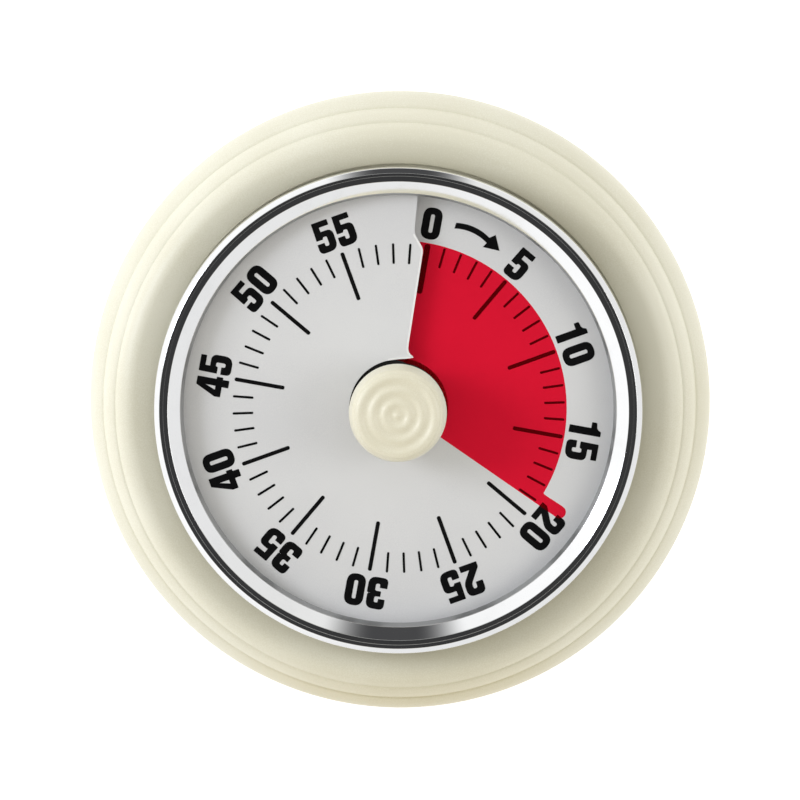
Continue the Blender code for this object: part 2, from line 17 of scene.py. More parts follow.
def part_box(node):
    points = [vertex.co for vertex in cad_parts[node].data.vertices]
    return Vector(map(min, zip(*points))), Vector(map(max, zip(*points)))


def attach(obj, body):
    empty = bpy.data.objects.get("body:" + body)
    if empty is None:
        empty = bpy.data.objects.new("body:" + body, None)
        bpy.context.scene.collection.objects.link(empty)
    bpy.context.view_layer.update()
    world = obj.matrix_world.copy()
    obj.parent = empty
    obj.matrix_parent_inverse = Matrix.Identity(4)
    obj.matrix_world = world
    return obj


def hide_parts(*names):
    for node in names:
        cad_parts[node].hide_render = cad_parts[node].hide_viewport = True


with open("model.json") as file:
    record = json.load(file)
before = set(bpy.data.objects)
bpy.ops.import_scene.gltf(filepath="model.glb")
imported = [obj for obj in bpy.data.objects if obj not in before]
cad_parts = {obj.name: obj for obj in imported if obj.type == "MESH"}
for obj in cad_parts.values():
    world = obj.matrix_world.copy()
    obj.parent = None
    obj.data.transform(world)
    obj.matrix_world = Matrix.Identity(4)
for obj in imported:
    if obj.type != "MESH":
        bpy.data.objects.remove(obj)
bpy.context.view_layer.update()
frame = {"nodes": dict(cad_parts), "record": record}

MM = 0.001
TURN = 2 * math.pi

# %% [markdown]
# ## Camera
# The timer is seen almost straight from the front, turned a little clockwise and tipped by a few
# degrees, so that each ring stands slightly off the centre of the one below it. A long lens from
# 2 m keeps near and far rings at the same scale. The view is built from two directions that lie
# flat in the dial's plane, up and right, so the tip can be given as an angle towards each of them.

# %% Directions of the view
DIAL_TURN = math.radians(10.1)
VIEW_RIGHT = Vector((math.cos(DIAL_TURN), math.sin(DIAL_TURN), 0))
VIEW_UP = Vector((-math.sin(DIAL_TURN), math.cos(DIAL_TURN), 0))
OUTWARD = Vector((0, 0, 1))
TIP_UP = math.radians(6.0)
TIP_RIGHT = math.radians(1.0)
DISTANCE = 2.0
HALF_FRAME = 51.66 * MM
TARGET = Vector((0, 0, 11.0 * MM))
print("dial turned by", round(math.degrees(DIAL_TURN), 1), "degrees, seen from", DISTANCE, "m")


def towards(right, up, out):
    """The unit direction with these shares of the view's right, up and outward directions."""
    return (VIEW_RIGHT * right + VIEW_UP * up + OUTWARD * out).normalized()


def looking(direction, up):
    """The rotation of a camera or lamp that sits in that direction and looks back along it."""
    back = direction.normalized()
    right = up.cross(back).normalized()
    return Matrix((right, back.cross(right), back)).transposed().to_4x4()


# %% Place the camera
camera_data = bpy.data.cameras.new("camera")
camera = bpy.data.objects.new("camera", camera_data)
bpy.context.scene.collection.objects.link(camera)
sight = towards(math.tan(TIP_RIGHT), math.tan(TIP_UP), 1.0)
camera.matrix_world = Matrix.Translation(TARGET + sight * DISTANCE) @ looking(sight, VIEW_UP)
camera_data.sensor_width = 36.0
camera_data.lens = camera_data.sensor_width / 2 * DISTANCE / HALF_FRAME
camera_data.clip_start = 0.01
bpy.context.scene.camera = camera
bpy.context.scene.view_settings.view_transform = "Standard"
print("lens:", round(camera_data.lens, 1), "mm at", DISTANCE, "m")

# %% [markdown]
# ## Studio
# Polished chrome shows nothing but its surroundings, so the room is drawn as carefully as a part. In
# a studio a dark card hangs straight above the flat ring of the bezel, and the sides are kept
# white. Here the world does the same by direction: a bright skirt round the sides up to 25 degrees,
# greyer walls above it, a dark disc overhead and a soft dark card behind the top of the case.

# %% A node helper
def node(tree, kind, inputs=(), **settings):
    """A new node with its settings, and its inputs given as values or as sockets to join."""
    made = tree.nodes.new(kind)
    for name, value in settings.items():
        setattr(made, name, value)
    for key, value in dict(inputs).items():
        if isinstance(value, bpy.types.NodeSocket):
            tree.links.new(value, made.inputs[key])
        else:
            made.inputs[key].default_value = value
    return made


def calculate(tree, operation, *values):
    """The result socket of one step of arithmetic."""
    return node(tree, "ShaderNodeMath", dict(enumerate(values)), operation=operation).outputs[0]


def ease(tree, value, low, high, start=0.0, end=1.0):
    """A smooth step: start where value is under low, end where it is over high."""
    return node(tree, "ShaderNodeMapRange", {
        "Value": value, "From Min": low, "From Max": high, "To Min": start, "To Max": end,
    }, interpolation_type="SMOOTHSTEP").outputs["Result"]


def alignment(tree, vector, direction):
    """The cosine of the angle between a vector socket and a fixed direction."""
    product = node(tree, "ShaderNodeVectorMath", {0: vector, 1: direction}, operation="DOT_PRODUCT")
    return product.outputs["Value"]


def blend_colour(tree, factor, first, second, how="MIX"):
    """The second colour laid over the first by a factor; each is a value or a socket."""
    return node(tree, "ShaderNodeMix", {0: factor, 6: first, 7: second},
                data_type="RGBA", blend_type=how).outputs[2]


# %% The colours of the room
LEFT_WALL = (0.72, 0.73, 0.72, 1.0)
RIGHT_WALL = (0.61, 0.60, 0.56, 1.0)
WARM_WALL = (0.42, 0.35, 0.22, 1.0)
LEFT_SKIRT = (1.12, 1.12, 1.12, 1.0)
RIGHT_SKIRT = (0.90, 0.90, 0.90, 1.0)
OVERHEAD_CARD = (0.042, 0.042, 0.043, 1.0)
LOW_CARD = (0.07, 0.07, 0.072, 1.0)


def cosine(degrees):
    return math.cos(math.radians(degrees))


# %% The room
world = bpy.data.worlds.new("studio")
bpy.context.scene.world = world
world.use_nodes = True
room = world.node_tree
room.nodes.clear()
heading = node(room, "ShaderNodeTexCoord").outputs["Generated"]
height = alignment(room, heading, OUTWARD)
to_the_right = ease(room, alignment(room, heading, VIEW_RIGHT), -0.7, 0.7)
walls = blend_colour(room, to_the_right, LEFT_WALL, RIGHT_WALL)
downward = alignment(room, heading, -VIEW_UP)
walls = blend_colour(room, ease(room, downward, 0.2, 0.9), walls, WARM_WALL)
to_the_low_right = ease(room, alignment(room, heading, towards(1.0, -0.4, 0.0)), -0.6, 0.6)
skirt = blend_colour(room, to_the_low_right, LEFT_SKIRT, RIGHT_SKIRT)
walls = blend_colour(room, ease(room, height, 0.40, 0.55, 1.0, 0.0), walls, skirt)
near_table = ease(room, height, 0.10, 0.18, 1.0, 0.0)
warm_strip = calculate(room, "MULTIPLY", ease(room, downward, 0.3, 0.9), near_table)
walls = blend_colour(room, warm_strip, walls, WARM_WALL)
behind_top = alignment(room, heading, towards(0.0, 1.0, 0.5))
walls = blend_colour(room, ease(room, behind_top, cosine(19), cosine(5)), walls, LOW_CARD)
walls = blend_colour(room, ease(room, height, cosine(24), cosine(15)), walls, OVERHEAD_CARD)
shine = node(room, "ShaderNodeBackground", {"Color": walls, "Strength": 1.0})
node(room, "ShaderNodeOutputWorld", {"Surface": shine.outputs[0]})
print("room:", len(room.nodes), "nodes")

# %% [markdown]
# One large lamp from the upper left gives the case its bright side and lets the bezel throw its
# soft shade on the dial. A weaker one from the right keeps the far side open. Both are round, as the
# glints on chrome are then round too, and both are aimed at the middle of the timer.


# %% The lamps
def lamp(name, direction, distance, size, power, tint):
    data = bpy.data.lights.new(name, "AREA")
    data.shape = "DISK"
    data.size = size
    data.energy = power
    data.color = tint
    obj = bpy.data.objects.new(name, data)
    obj.matrix_world = Matrix.Translation(TARGET + direction * distance) @ looking(direction, VIEW_UP)
    bpy.context.scene.collection.objects.link(obj)
    print(f"{name}: {power} W, {distance} m away")


lamp("upper_left_lamp", towards(-0.95, 0.3, 0.72), 0.6, 0.26, 1.2, (0.95, 0.98, 1.07))
lamp("right_lamp", towards(1.0, 0.1, 0.95), 0.7, 0.35, 0.7, (1.0, 1.0, 1.0))

# %% [markdown]
# ## Shapes
# Most of a timer is turned: a section is drawn once and spun about the arbor. The helper below
# takes a section as points of (radius, height, fillet) in millimetres. A fillet swaps a sharp
# corner for a short arc, which is what a mould or a lathe leaves, and what catches the light. One
# more point stands beside each arc: smooth shading blends the directions of neighbouring faces, and
# that point keeps the blend in the arc, so that a long flat beside it still mirrors as a flat.

# %% Rounded outlines
SUPPORT = 0.12
LARGEST_SHARE = 0.49
ROOM_NEEDED = 2.2


def corner(before, point, after, radius, steps):
    """The arc that rounds one corner, or the corner itself where its radius is 0."""
    a, p, b = Vector(before), Vector(point), Vector(after)
    if radius <= 0:
        return [p]
    back, on = (a - p).normalized(), (b - p).normalized()
    half = back.angle(on) / 2
    shorter = min((a - p).length, (b - p).length)
    reach = min(radius / math.tan(half), LARGEST_SHARE * shorter)
    start, end = p + back * reach, p + on * reach
    shares = [i / steps for i in range(steps + 1)]
    arc = [start.lerp(p, t).lerp(p.lerp(end, t), t) for t in shares]
    if (a - p).length > ROOM_NEEDED * (reach + SUPPORT):
        arc.insert(0, start + back * SUPPORT)
    if (b - p).length > ROOM_NEEDED * (reach + SUPPORT):
        arc.append(end + on * SUPPORT)
    return arc


def rounded(points, steps=6, closed=True):
    """An outline of (x, y, fillet radius) as plain points, with each corner rounded."""
    places = [Vector(p[:2]) for p in points]
    radii = [p[2] if len(p) > 2 else 0.0 for p in points]
    made = []
    for i, place in enumerate(places):
        inner = closed or 0 < i < len(places) - 1
        before, after = places[i - 1], places[(i + 1) % len(places)]
        made += corner(before, place, after, radii[i] if inner else 0.0, steps)
    return made


def bow(start, end, bulge, count):
    """Points after start, up to end, on a curve that bows by bulge to the right of the way there."""
    start, end = Vector(start[:2]), Vector(end)
    along = end - start
    side = Vector((along.y, -along.x)).normalized()
    shares = [(i + 1) / count for i in range(count)]
    return [tuple(start + along * t + side * bulge * 4 * t * (1 - t)) for t in shares]


# %% [markdown]
# A shape is first drawn in a bmesh, Blender's editable mesh, and then made an object. Doubled points
# are merged and the faces turned outwards, because a printer or a simulator reads the mesh too.
# **carve** joins or cuts with a second shape, as a mill would, and leaves no modifier behind.

# %% Turned pieces
SHARP = 32.0


def piece(name, bm, sharp=SHARP):
    """The bmesh as an object in the scene, shaded smooth but for its sharp edges."""
    bmesh.ops.remove_doubles(bm, verts=bm.verts, dist=1e-8)
    bmesh.ops.recalc_face_normals(bm, faces=bm.faces)
    mesh = bpy.data.meshes.new(name)
    bm.to_mesh(mesh)
    bm.free()
    mesh.shade_smooth()
    mesh.set_sharp_from_angle(angle=math.radians(sharp))
    obj = bpy.data.objects.new(name, mesh)
    bpy.context.scene.collection.objects.link(obj)
    return obj


def turn_into(bm, section, around, centre=(0, 0)):
    """Spins a closed section, in millimetres, about a line along Z."""
    middle = Vector((*centre, 0))
    rings = []
    for i in range(around):
        angle = TURN * i / around
        way = Vector((math.cos(angle), math.sin(angle), 0))
        rings.append([bm.verts.new((middle + way * r) * MM + OUTWARD * z * MM) for r, z in section])
    for ring, following in zip(rings, rings[1:] + rings[:1]):
        for j in range(len(section)):
            k = (j + 1) % len(section)
            if section[j][0] == 0 and section[k][0] == 0:
                continue
            quad = [ring[j], ring[k], following[k], following[j]]
            if section[j][0] == 0:
                quad.pop(3)
            elif section[k][0] == 0:
                quad.pop(2)
            bm.faces.new(quad)


def turned(name, section, around=192, **kind):
    """A piece that is one section spun about the arbor."""
    bm = bmesh.new()
    turn_into(bm, section, around)
    return piece(name, bm, **kind)


# %% Slabs, cuts and places
def slab_into(bm, outline, bottom, top):
    """A closed flat slab from an outline in millimetres."""
    low = [bm.verts.new((x * MM, y * MM, bottom * MM)) for x, y in outline]
    high = [bm.verts.new((x * MM, y * MM, top * MM)) for x, y in outline]
    bm.faces.new(low[::-1])
    bm.faces.new(high)
    for i in range(len(low)):
        j = (i + 1) % len(low)
        bm.faces.new((low[i], low[j], high[j], high[i]))


def carve(obj, operation, draw):
    """Adds or cuts away what draw puts into a mesh, and leaves a plain mesh behind."""
    bm = bmesh.new()
    draw(bm)
    other = piece("tool", bm)
    modifier = obj.modifiers.new("carve", "BOOLEAN")
    modifier.operation = operation
    modifier.object = other
    modifier.solver = "EXACT"
    settle(obj)
    bpy.data.objects.remove(other)


def settle(obj, sharp=SHARP):
    """Swaps an object's mesh for what its modifiers make of it, and takes the modifiers off."""
    bpy.context.view_layer.update()
    graph = bpy.context.evaluated_depsgraph_get()
    mesh = bpy.data.meshes.new_from_object(obj.evaluated_get(graph))
    obj.modifiers.clear()
    obj.data = mesh
    mesh.shade_smooth()
    mesh.set_sharp_from_angle(angle=math.radians(sharp))
    return obj


def polar(radius, degrees):
    return radius * math.cos(math.radians(degrees)), radius * math.sin(math.radians(degrees))


def clockwise(radius, degrees):
    """The point at radius, this many degrees clockwise from the 0 mark."""
    return polar(radius, 90.0 - degrees)


def finish(obj, body, slot, material, *nodes):
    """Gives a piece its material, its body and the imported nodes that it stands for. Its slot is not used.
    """
    obj.data.materials.clear()
    obj.data.materials.append(material)
    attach(obj, body)
    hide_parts(*nodes)
    faces = len(obj.data.polygons)
    print(f"{obj.name}: {faces} faces on {body}, finish {material.name}")
    return obj

# %% [markdown]
# ## Finishes
# Each finish is one material, and what several of them need is a shader group. **moulded_grain**
# is the fine leather-like frosting that a spark-eroded mould gives plastic, with a slow drift of
# tone. **ground_metal** is a grain of fine lines along one direction, for sheet brass and steel.
# **handling** is the faint greasy smear that fingers leave, which only changes the gloss.
# ** round_zone** is a mask that is full up to one radius from the arbor and gone at another. It places
# the painted shade in the joint beside the bezel, keeps the painted low-side shade off the inner
# crown, and marks the chrome's satin throat. All of them read Object coordinates, in which 1 is a
# metre, so the grain has a real size and moves with its piece.

# %% Group helpers
def new_group(name, inputs, outputs):
    """An empty shader group with its sockets, and its input and output nodes."""
    tree = bpy.data.node_groups.new(name, "ShaderNodeTree")
    for label, kind, value in inputs:
        socket = tree.interface.new_socket(name=label, in_out="INPUT", socket_type="NodeSocket" + kind)
        socket.default_value = value
    for label, kind in outputs:
        tree.interface.new_socket(name=label, in_out="OUTPUT", socket_type="NodeSocket" + kind)
    return tree, tree.nodes.new("NodeGroupInput").outputs, tree.nodes.new("NodeGroupOutput").inputs


def noise(tree, vector, scale, detail=3.0, rough=0.55):
    return node(tree, "ShaderNodeTexNoise", {
        "Vector": vector, "Scale": scale, "Detail": detail, "Roughness": rough,
    }).outputs["Fac"]


def object_place(tree):
    return node(tree, "ShaderNodeTexCoord").outputs["Object"]


def scale_for(tree, size):
    """The noise scale that gives features of a size in millimetres."""
    return calculate(tree, "DIVIDE", 1.0 / MM, size)


# %% Group: moulded grain
tree, given, out = new_group(
    "moulded_grain",
    [("Light Tone", "Color", (0.8, 0.8, 0.8, 1)), ("Deep Tone", "Color", (0.7, 0.7, 0.7, 1)),
     ("Grain Size", "Float", 0.2), ("Drift Size", "Float", 18.0), ("Gloss Low", "Float", 0.35),
     ("Gloss High", "Float", 0.5)],
    [("Color", "Color"), ("Roughness", "Float"), ("Height", "Float")],
)
place = object_place(tree)
fine = noise(tree, place, scale_for(tree, given["Grain Size"]), 2.0)
slow = noise(tree, place, scale_for(tree, given["Drift Size"]), 3.0)
tone = ease(tree, calculate(tree, "MULTIPLY", slow, fine), 0.16, 0.36)
tree.links.new(blend_colour(tree, tone, given["Light Tone"], given["Deep Tone"]), out["Color"])
gloss = node(tree, "ShaderNodeMapRange", {
    "Value": fine, "To Min": given["Gloss Low"], "To Max": given["Gloss High"],
})
tree.links.new(gloss.outputs[0], out["Roughness"])
tree.links.new(fine, out["Height"])
GRAIN = tree
print(GRAIN.name, "built of", len(tree.nodes), "nodes")

# %% Group: ground metal
tree, given, out = new_group(
    "ground_metal",
    [("Bright", "Color", (0.8, 0.6, 0.3, 1)), ("Dull", "Color", (0.6, 0.45, 0.2, 1)),
     ("Line Width", "Float", 0.08), ("Gloss Low", "Float", 0.22), ("Gloss High", "Float", 0.42)],
    [("Color", "Color"), ("Roughness", "Float"), ("Height", "Float")],
)
place = object_place(tree)
stretched = node(tree, "ShaderNodeMapping", {"Vector": place, "Scale": (1.0, 0.04, 1.0)}).outputs[0]
lines = noise(tree, stretched, scale_for(tree, given["Line Width"]), 2.0, 0.7)
stain = noise(tree, place, 0.35 / MM, 4.0, 0.6)
tarnish = ease(tree, stain, 0.42, 0.72)
tree.links.new(blend_colour(tree, tarnish, given["Bright"], given["Dull"]), out["Color"])
dulled = calculate(tree, "MULTIPLY_ADD", tarnish, 0.5, lines)
gloss = node(tree, "ShaderNodeMapRange", {
    "Value": dulled, "From Min": 0.3, "From Max": 1.0,
    "To Min": given["Gloss Low"], "To Max": given["Gloss High"],
})
tree.links.new(gloss.outputs[0], out["Roughness"])
tree.links.new(lines, out["Height"])
METAL = tree
print(METAL.name, "built of", len(tree.nodes), "nodes")

# %% Group: handling
tree, given, out = new_group(
    "handling",
    [("Roughness", "Float", 0.3), ("Smear", "Float", 0.06), ("Smear Size", "Float", 6.0)],
    [("Roughness", "Float"), ("Mask", "Float")],
)
patches = noise(tree, object_place(tree), scale_for(tree, given["Smear Size"]), 5.0, 0.62)
mask = ease(tree, patches, 0.45, 0.75)
added = calculate(tree, "MULTIPLY_ADD", mask, given["Smear"], given["Roughness"])
tree.links.new(added, out["Roughness"])
tree.links.new(mask, out["Mask"])
SMEAR = tree
print(SMEAR.name, "built of", len(tree.nodes), "nodes")

# %% Group: round zone
tree, given, out = new_group(
    "round_zone", [("Full Until", "Float", 30.0), ("Gone At", "Float", 32.0)], [("Mask", "Float")],
)
in_millimetres = (1.0 / MM, 1.0 / MM, 0.0)
flat = node(tree, "ShaderNodeVectorMath", {0: object_place(tree), 1: in_millimetres}, operation="MULTIPLY")
radius = node(tree, "ShaderNodeVectorMath", {0: flat.outputs[0]}, operation="LENGTH").outputs["Value"]
fade = node(tree, "ShaderNodeMapRange", {
    "Value": radius, "From Min": given["Full Until"], "From Max": given["Gone At"],
    "To Min": 1.0, "To Max": 0.0,
})
tree.links.new(fade.outputs[0], out["Mask"])
ZONE = tree
print(ZONE.name, "built of", len(tree.nodes), "nodes")


# %% [markdown]
# A finish is a Principled surface with those groups joined to its sockets. Moulded plastics and
# ground metals differ only in their values, so one helper makes each kind. Colours are given as they
# look on a screen and turned into linear light, which is what the renderer adds up.


# %% Material helpers
def srgb(red, green, blue):
    """A colour given as 0 to 255 on screen, as the renderer's own linear light."""
    shares = [x / 255 for x in (red, green, blue)]
    return (*[x / 12.92 if x <= 0.04045 else ((x + 0.055) / 1.055) ** 2.4 for x in shares], 1.0)


def material(name, **constants):
    """A material with a Principled surface, whose plain values are set on its own sockets."""
    made = bpy.data.materials.new(name)
    made.use_nodes = True
    shader = made.node_tree.nodes["Principled BSDF"]
    for label, value in constants.items():
        shader.inputs[label.replace("_", " ")].default_value = value
    return made, made.node_tree, shader


def use(tree, group, **values):
    """Places a shader group in a material with its own values."""
    return node(tree, "ShaderNodeGroup", {k.replace("_", " "): v for k, v in values.items()}, node_tree=group)


def bump(tree, shader, height, depth, strength=1.0):
    """Feeds a height into the shader's normal; depth is in millimetres."""
    made = node(tree, "ShaderNodeBump", {"Height": height, "Distance": depth * MM, "Strength": strength})
    tree.links.new(made.outputs[0], shader.inputs["Normal"])


def plastic(name, light, deep, grain, drift, gloss, depth, smear=0.05, **constants):
    """A moulded plastic: grain, slow drift of tone and a little handling."""
    made, tree, shader = material(name, **constants)
    grained = use(tree, GRAIN, Light_Tone=light, Deep_Tone=deep, Grain_Size=grain, Drift_Size=drift,
                  Gloss_Low=gloss[0], Gloss_High=gloss[1])
    smear_and_low_shade = use(tree, SMEAR, Roughness=grained.outputs["Roughness"], Smear=smear)
    tree.links.new(grained.outputs["Color"], shader.inputs["Base Color"])
    tree.links.new(smear_and_low_shade.outputs["Roughness"], shader.inputs["Roughness"])
    bump(tree, shader, grained.outputs["Height"], depth)
    return made


def metal(name, bright, dull, line, gloss, depth, **constants):
    """A ground metal with its lines and a little tarnish."""
    made, tree, shader = material(name, Metallic=1.0, **constants)
    ground = use(tree, METAL, Bright=bright, Dull=dull, Line_Width=line,
                 Gloss_Low=gloss[0], Gloss_High=gloss[1])
    tree.links.new(ground.outputs["Color"], shader.inputs["Base Color"])
    tree.links.new(ground.outputs["Roughness"], shader.inputs["Roughness"])
    bump(tree, shader, ground.outputs["Height"], depth)
    return made


# %% [markdown]
# The case, cover and knob are the same warm cream ABS. The case is satin, the knob a shade glossier
# from being turned, and the cover matt because nobody sees it. The rubber foot is softer still.
# The case's colour also carries painted shade: a grey tint darkens the joint beside the bezel, where
# the tall bezel shades it, and a warm tint darkens the low side of the rim. Both are tints multiplied
# over the clean colour by a mask.

# %% Cream plastic of the case
# Painted shade: a grey tint multiplied into the cream beside the bezel, where the bezel shades the joint.
JOINT_SHADE_TINT = (0.76, 0.75, 0.71, 1)
# Painted shade: a warm tint multiplied into the cream on the rim's low side.
LOW_SIDE_SHADE_TINT = (0.92, 0.87, 0.75, 1)
CASE_CREAM = plastic("case_cream", srgb(237, 234, 215), srgb(230, 226, 204), 0.16, 22.0, (0.36, 0.5), 0.004,
                     Specular_IOR_Level=0.45, Coat_Weight=0.06, Coat_Roughness=0.25)
tree, shader = CASE_CREAM.node_tree, CASE_CREAM.node_tree.nodes["Principled BSDF"]
clean = shader.inputs["Base Color"].links[0].from_socket
# Painted shade: full at the bezel, gone 35.2 mm from the arbor.
joint = use(tree, ZONE, Full_Until=31.3, Gone_At=35.2).outputs["Mask"]
joint_shaded = blend_colour(tree, joint, clean, JOINT_SHADE_TINT, "MULTIPLY")
outward = node(tree, "ShaderNodeVectorMath", {0: object_place(tree)}, operation="NORMALIZE").outputs[0]
# Painted shade: the rim's side towards -VIEW_UP, outside the crown, is made warmer and darker.
low_side = ease(tree, alignment(tree, outward, -VIEW_UP), 0.7, 0.97)
inside = use(tree, ZONE, Full_Until=33.5, Gone_At=38.0).outputs["Mask"]
smear_and_low_shade = calculate(tree, "MULTIPLY", low_side, calculate(tree, "SUBTRACT", 1.0, inside))
shaded_cream = blend_colour(tree, smear_and_low_shade, joint_shaded, LOW_SIDE_SHADE_TINT, "MULTIPLY")
tree.links.new(shaded_cream, shader.inputs["Base Color"])
print(CASE_CREAM.name, "built of", len(tree.nodes), "nodes")

# %% Other plastics and rubber
KNOB_CREAM = plastic("knob_cream", srgb(243, 238, 216), srgb(236, 230, 205), 0.14, 9.0, (0.3, 0.42), 0.003,
                     Specular_IOR_Level=0.5, Coat_Weight=0.1, Coat_Roughness=0.2)
COVER_CREAM = plastic("cover_cream", srgb(234, 230, 211), srgb(224, 219, 197), 0.25, 14.0,
                      (0.55, 0.72), 0.012)
FOOT_RUBBER = plastic("foot_rubber", srgb(222, 216, 194), srgb(203, 196, 171), 0.12, 5.0, (0.7, 0.88), 0.01,
                      smear=0.02, Specular_IOR_Level=0.3)
SEAT_GREY = plastic("seat_grey", srgb(168, 169, 170), srgb(150, 151, 153), 0.2, 10.0, (0.4, 0.55), 0.006)
HUB_GREY = plastic("hub_grey", srgb(190, 191, 191), srgb(172, 173, 174), 0.2, 8.0, (0.35, 0.5), 0.006)
print("plastics:", len(bpy.data.materials))

# %% [markdown]
# The bezel is steel with bright chrome plate. Plate is all reflection, so its material is a pale
# metal with a very low roughness that only the handling group disturbs. Its throat isn't buffed, so
# it turns satin there and doesn't mirror the numerals. The dial is card-like sheet with a satin
# silver-white print: mostly diffuse, with a weak broad sheen.

# %% Chrome, dial face and ink
CHROME_BRIGHT = (0.88, 0.885, 0.89, 1)
CHROME_SMEARED = (0.84, 0.845, 0.85, 1)
THROAT_GREY = (0.42, 0.425, 0.43, 1)
CHROME, tree, shader = material("chrome_plate", Metallic=1.0, Base_Color=(0.86, 0.865, 0.87, 1))
polish = use(tree, SMEAR, Roughness=0.045, Smear=0.035, Smear_Size=5.0)
throat = use(tree, ZONE, Full_Until=27.95, Gone_At=28.1).outputs["Mask"]
satin = calculate(tree, "MULTIPLY_ADD", throat, 0.4, polish.outputs["Roughness"])
tree.links.new(satin, shader.inputs["Roughness"])
plate_tone = blend_colour(tree, polish.outputs["Mask"], CHROME_BRIGHT, CHROME_SMEARED)
tree.links.new(blend_colour(tree, throat, plate_tone, THROAT_GREY), shader.inputs["Base Color"])

DIAL_SILVER = plastic("dial_silver", srgb(236, 236, 236), srgb(230, 230, 231), 0.1, 16.0, (0.42, 0.52), 0.002,
                      smear=0.03, Metallic=0.15, Specular_IOR_Level=0.4)
INK_BLACK = plastic("ink_black", (0.0035, 0.0035, 0.0038, 1), (0.007, 0.007, 0.0075, 1), 0.09, 3.0,
                    (0.45, 0.6), 0.003, smear=0.0, Specular_IOR_Level=0.05)
print(CHROME.name, DIAL_SILVER.name, INK_BLACK.name)

# %% [markdown]
# The red disc is a clear tinted film: black ticks stay readable through it, so its surface is a
# transparent colour with a little red gloss over it. The tint is only put into what the eye sees: if
# the light on its way down were tinted too, a pink halo would spill out round the film. A line of
# sight crosses two faces, so each face has the square root of the whole tint.

# %% Red film
FACE_TINT = (1.0, 0.122, 0.228, 1)
GLOSS_SHARE = 0.06
FILM_RED, tree, shader = material("film_red", Specular_IOR_Level=0.5)
film_grain = use(tree, GRAIN, Light_Tone=srgb(250, 14, 40), Deep_Tone=srgb(240, 10, 34), Grain_Size=0.3,
                 Drift_Size=12.0, Gloss_Low=0.22, Gloss_High=0.3)
tree.links.new(film_grain.outputs["Color"], shader.inputs["Base Color"])
tree.links.new(film_grain.outputs["Roughness"], shader.inputs["Roughness"])
tinted = node(tree, "ShaderNodeBsdfTransparent", {"Color": FACE_TINT})
film = node(tree, "ShaderNodeMixShader", {0: GLOSS_SHARE, 1: tinted.outputs[0], 2: shader.outputs[0]})
untinted = node(tree, "ShaderNodeBsdfTransparent", {"Color": (1, 1, 1, 1)})
ray = node(tree, "ShaderNodeLightPath").outputs
lit = node(tree, "ShaderNodeMixShader", {0: ray["Is Camera Ray"], 1: untinted.outputs[0], 2: film.outputs[0]})
tree.links.new(lit.outputs[0], tree.nodes["Material Output"].inputs["Surface"])

# %% [markdown]
# Clock brass is a warm yellow with brown tarnish, the arbors and screws are ground steel, and the
# springs are tempered to blue. The magnets are ferrite, a dull black ceramic.

# %% Metals of the movement
BRASS = metal("clock_brass", (0.80, 0.58, 0.24, 1), (0.60, 0.40, 0.15, 1), 0.07, (0.2, 0.42), 0.002)
STEEL = metal("ground_steel", (0.62, 0.63, 0.64, 1), (0.46, 0.47, 0.48, 1), 0.06, (0.2, 0.38), 0.002)
BLUED = metal("blued_spring_steel", (0.10, 0.14, 0.30, 1), (0.16, 0.10, 0.18, 1), 0.08, (0.22, 0.36), 0.0015)
FERRITE = plastic("ferrite", (0.035, 0.034, 0.034, 1), (0.055, 0.053, 0.052, 1), 0.3, 4.0, (0.5, 0.75), 0.02,
                  smear=0.0, Metallic=0.35)
print("materials:", len(bpy.data.materials))

# %% [markdown]
# ## Case
# The front shell is a shallow bowl turned upside down. Its crown falls outward in three waves,
# divided by two fine steps, and rolls inward over a short lip to the bezel. A lathe is the natural
# tool: the section below follows the outside first, then the inside, and the steps keep a small
# fillet so that they read as soft lines. Three screw bosses are then joined to the inside.

# %% Front shell
PARTING, SEAM = 8.0, 0.3
widest, low_step, high_step, crown = (40.0, 11.0), (38.35, 14.8), (36.75, 17.75), (34.2, 19.5)
outside = [(39.45, PARTING + SEAM, 0.05), (39.72, PARTING + SEAM + 0.12, 0.1), (39.95, 9.6, 1.2), widest]
outside += bow(widest, low_step, 0.4, 14)
outside += [(38.17, 14.86, 0.1)]
outside += bow((38.17, 14.86), high_step, 0.3, 10)
outside += [(36.55, 17.8, 0.1)]
outside += bow((36.55, 17.8), crown, 0.45, 16)
cove = bow(crown, (31.35, 18.45), 0.22, 14)
inside = [
    (31.2, 18.0, 0.1), (31.2, 17.6), (29.0, 17.6, 0.1), (29.0, 15.8, 0.1), (32.6, 15.8, 0.3),
    (34.2, 17.1, 0.5), (36.0, 15.0, 1.5), (37.6, 12.0, 1.5), (37.4, PARTING + SEAM, 0.05),
]
front_shell = turned("case_front", rounded(outside + cove + inside, 4), 224)
BOSS_PLACE, BOSS_ANGLES = 30.0, (60, 180, 300)


def ring_of(section, around=40, radius=BOSS_PLACE, angles=BOSS_ANGLES):
    """Draws one turned shape at each boss."""
    def draw(bm):
        for degrees in angles:
            turn_into(bm, section, around, polar(radius, degrees))
    return draw


def rod(radius, bottom, top, fillet=0.0):
    return rounded([(0, bottom), (radius, bottom, fillet), (radius, top, fillet), (0, top)], 3)


carve(front_shell, "UNION", ring_of(rod(3.0, PARTING + SEAM, 16.0)))
carve(front_shell, "DIFFERENCE", ring_of(rod(1.5, PARTING - 1.0, 15.2)))
finish(front_shell, "case", "cream_shell", CASE_CREAM, "front_shell")

# %% [markdown]
# The rear shell is turned too. Its floor has a groove for the rubber ring and a recess for the cover,
# and is carved with three bosses, their stepped screw bores and two magnet pockets.

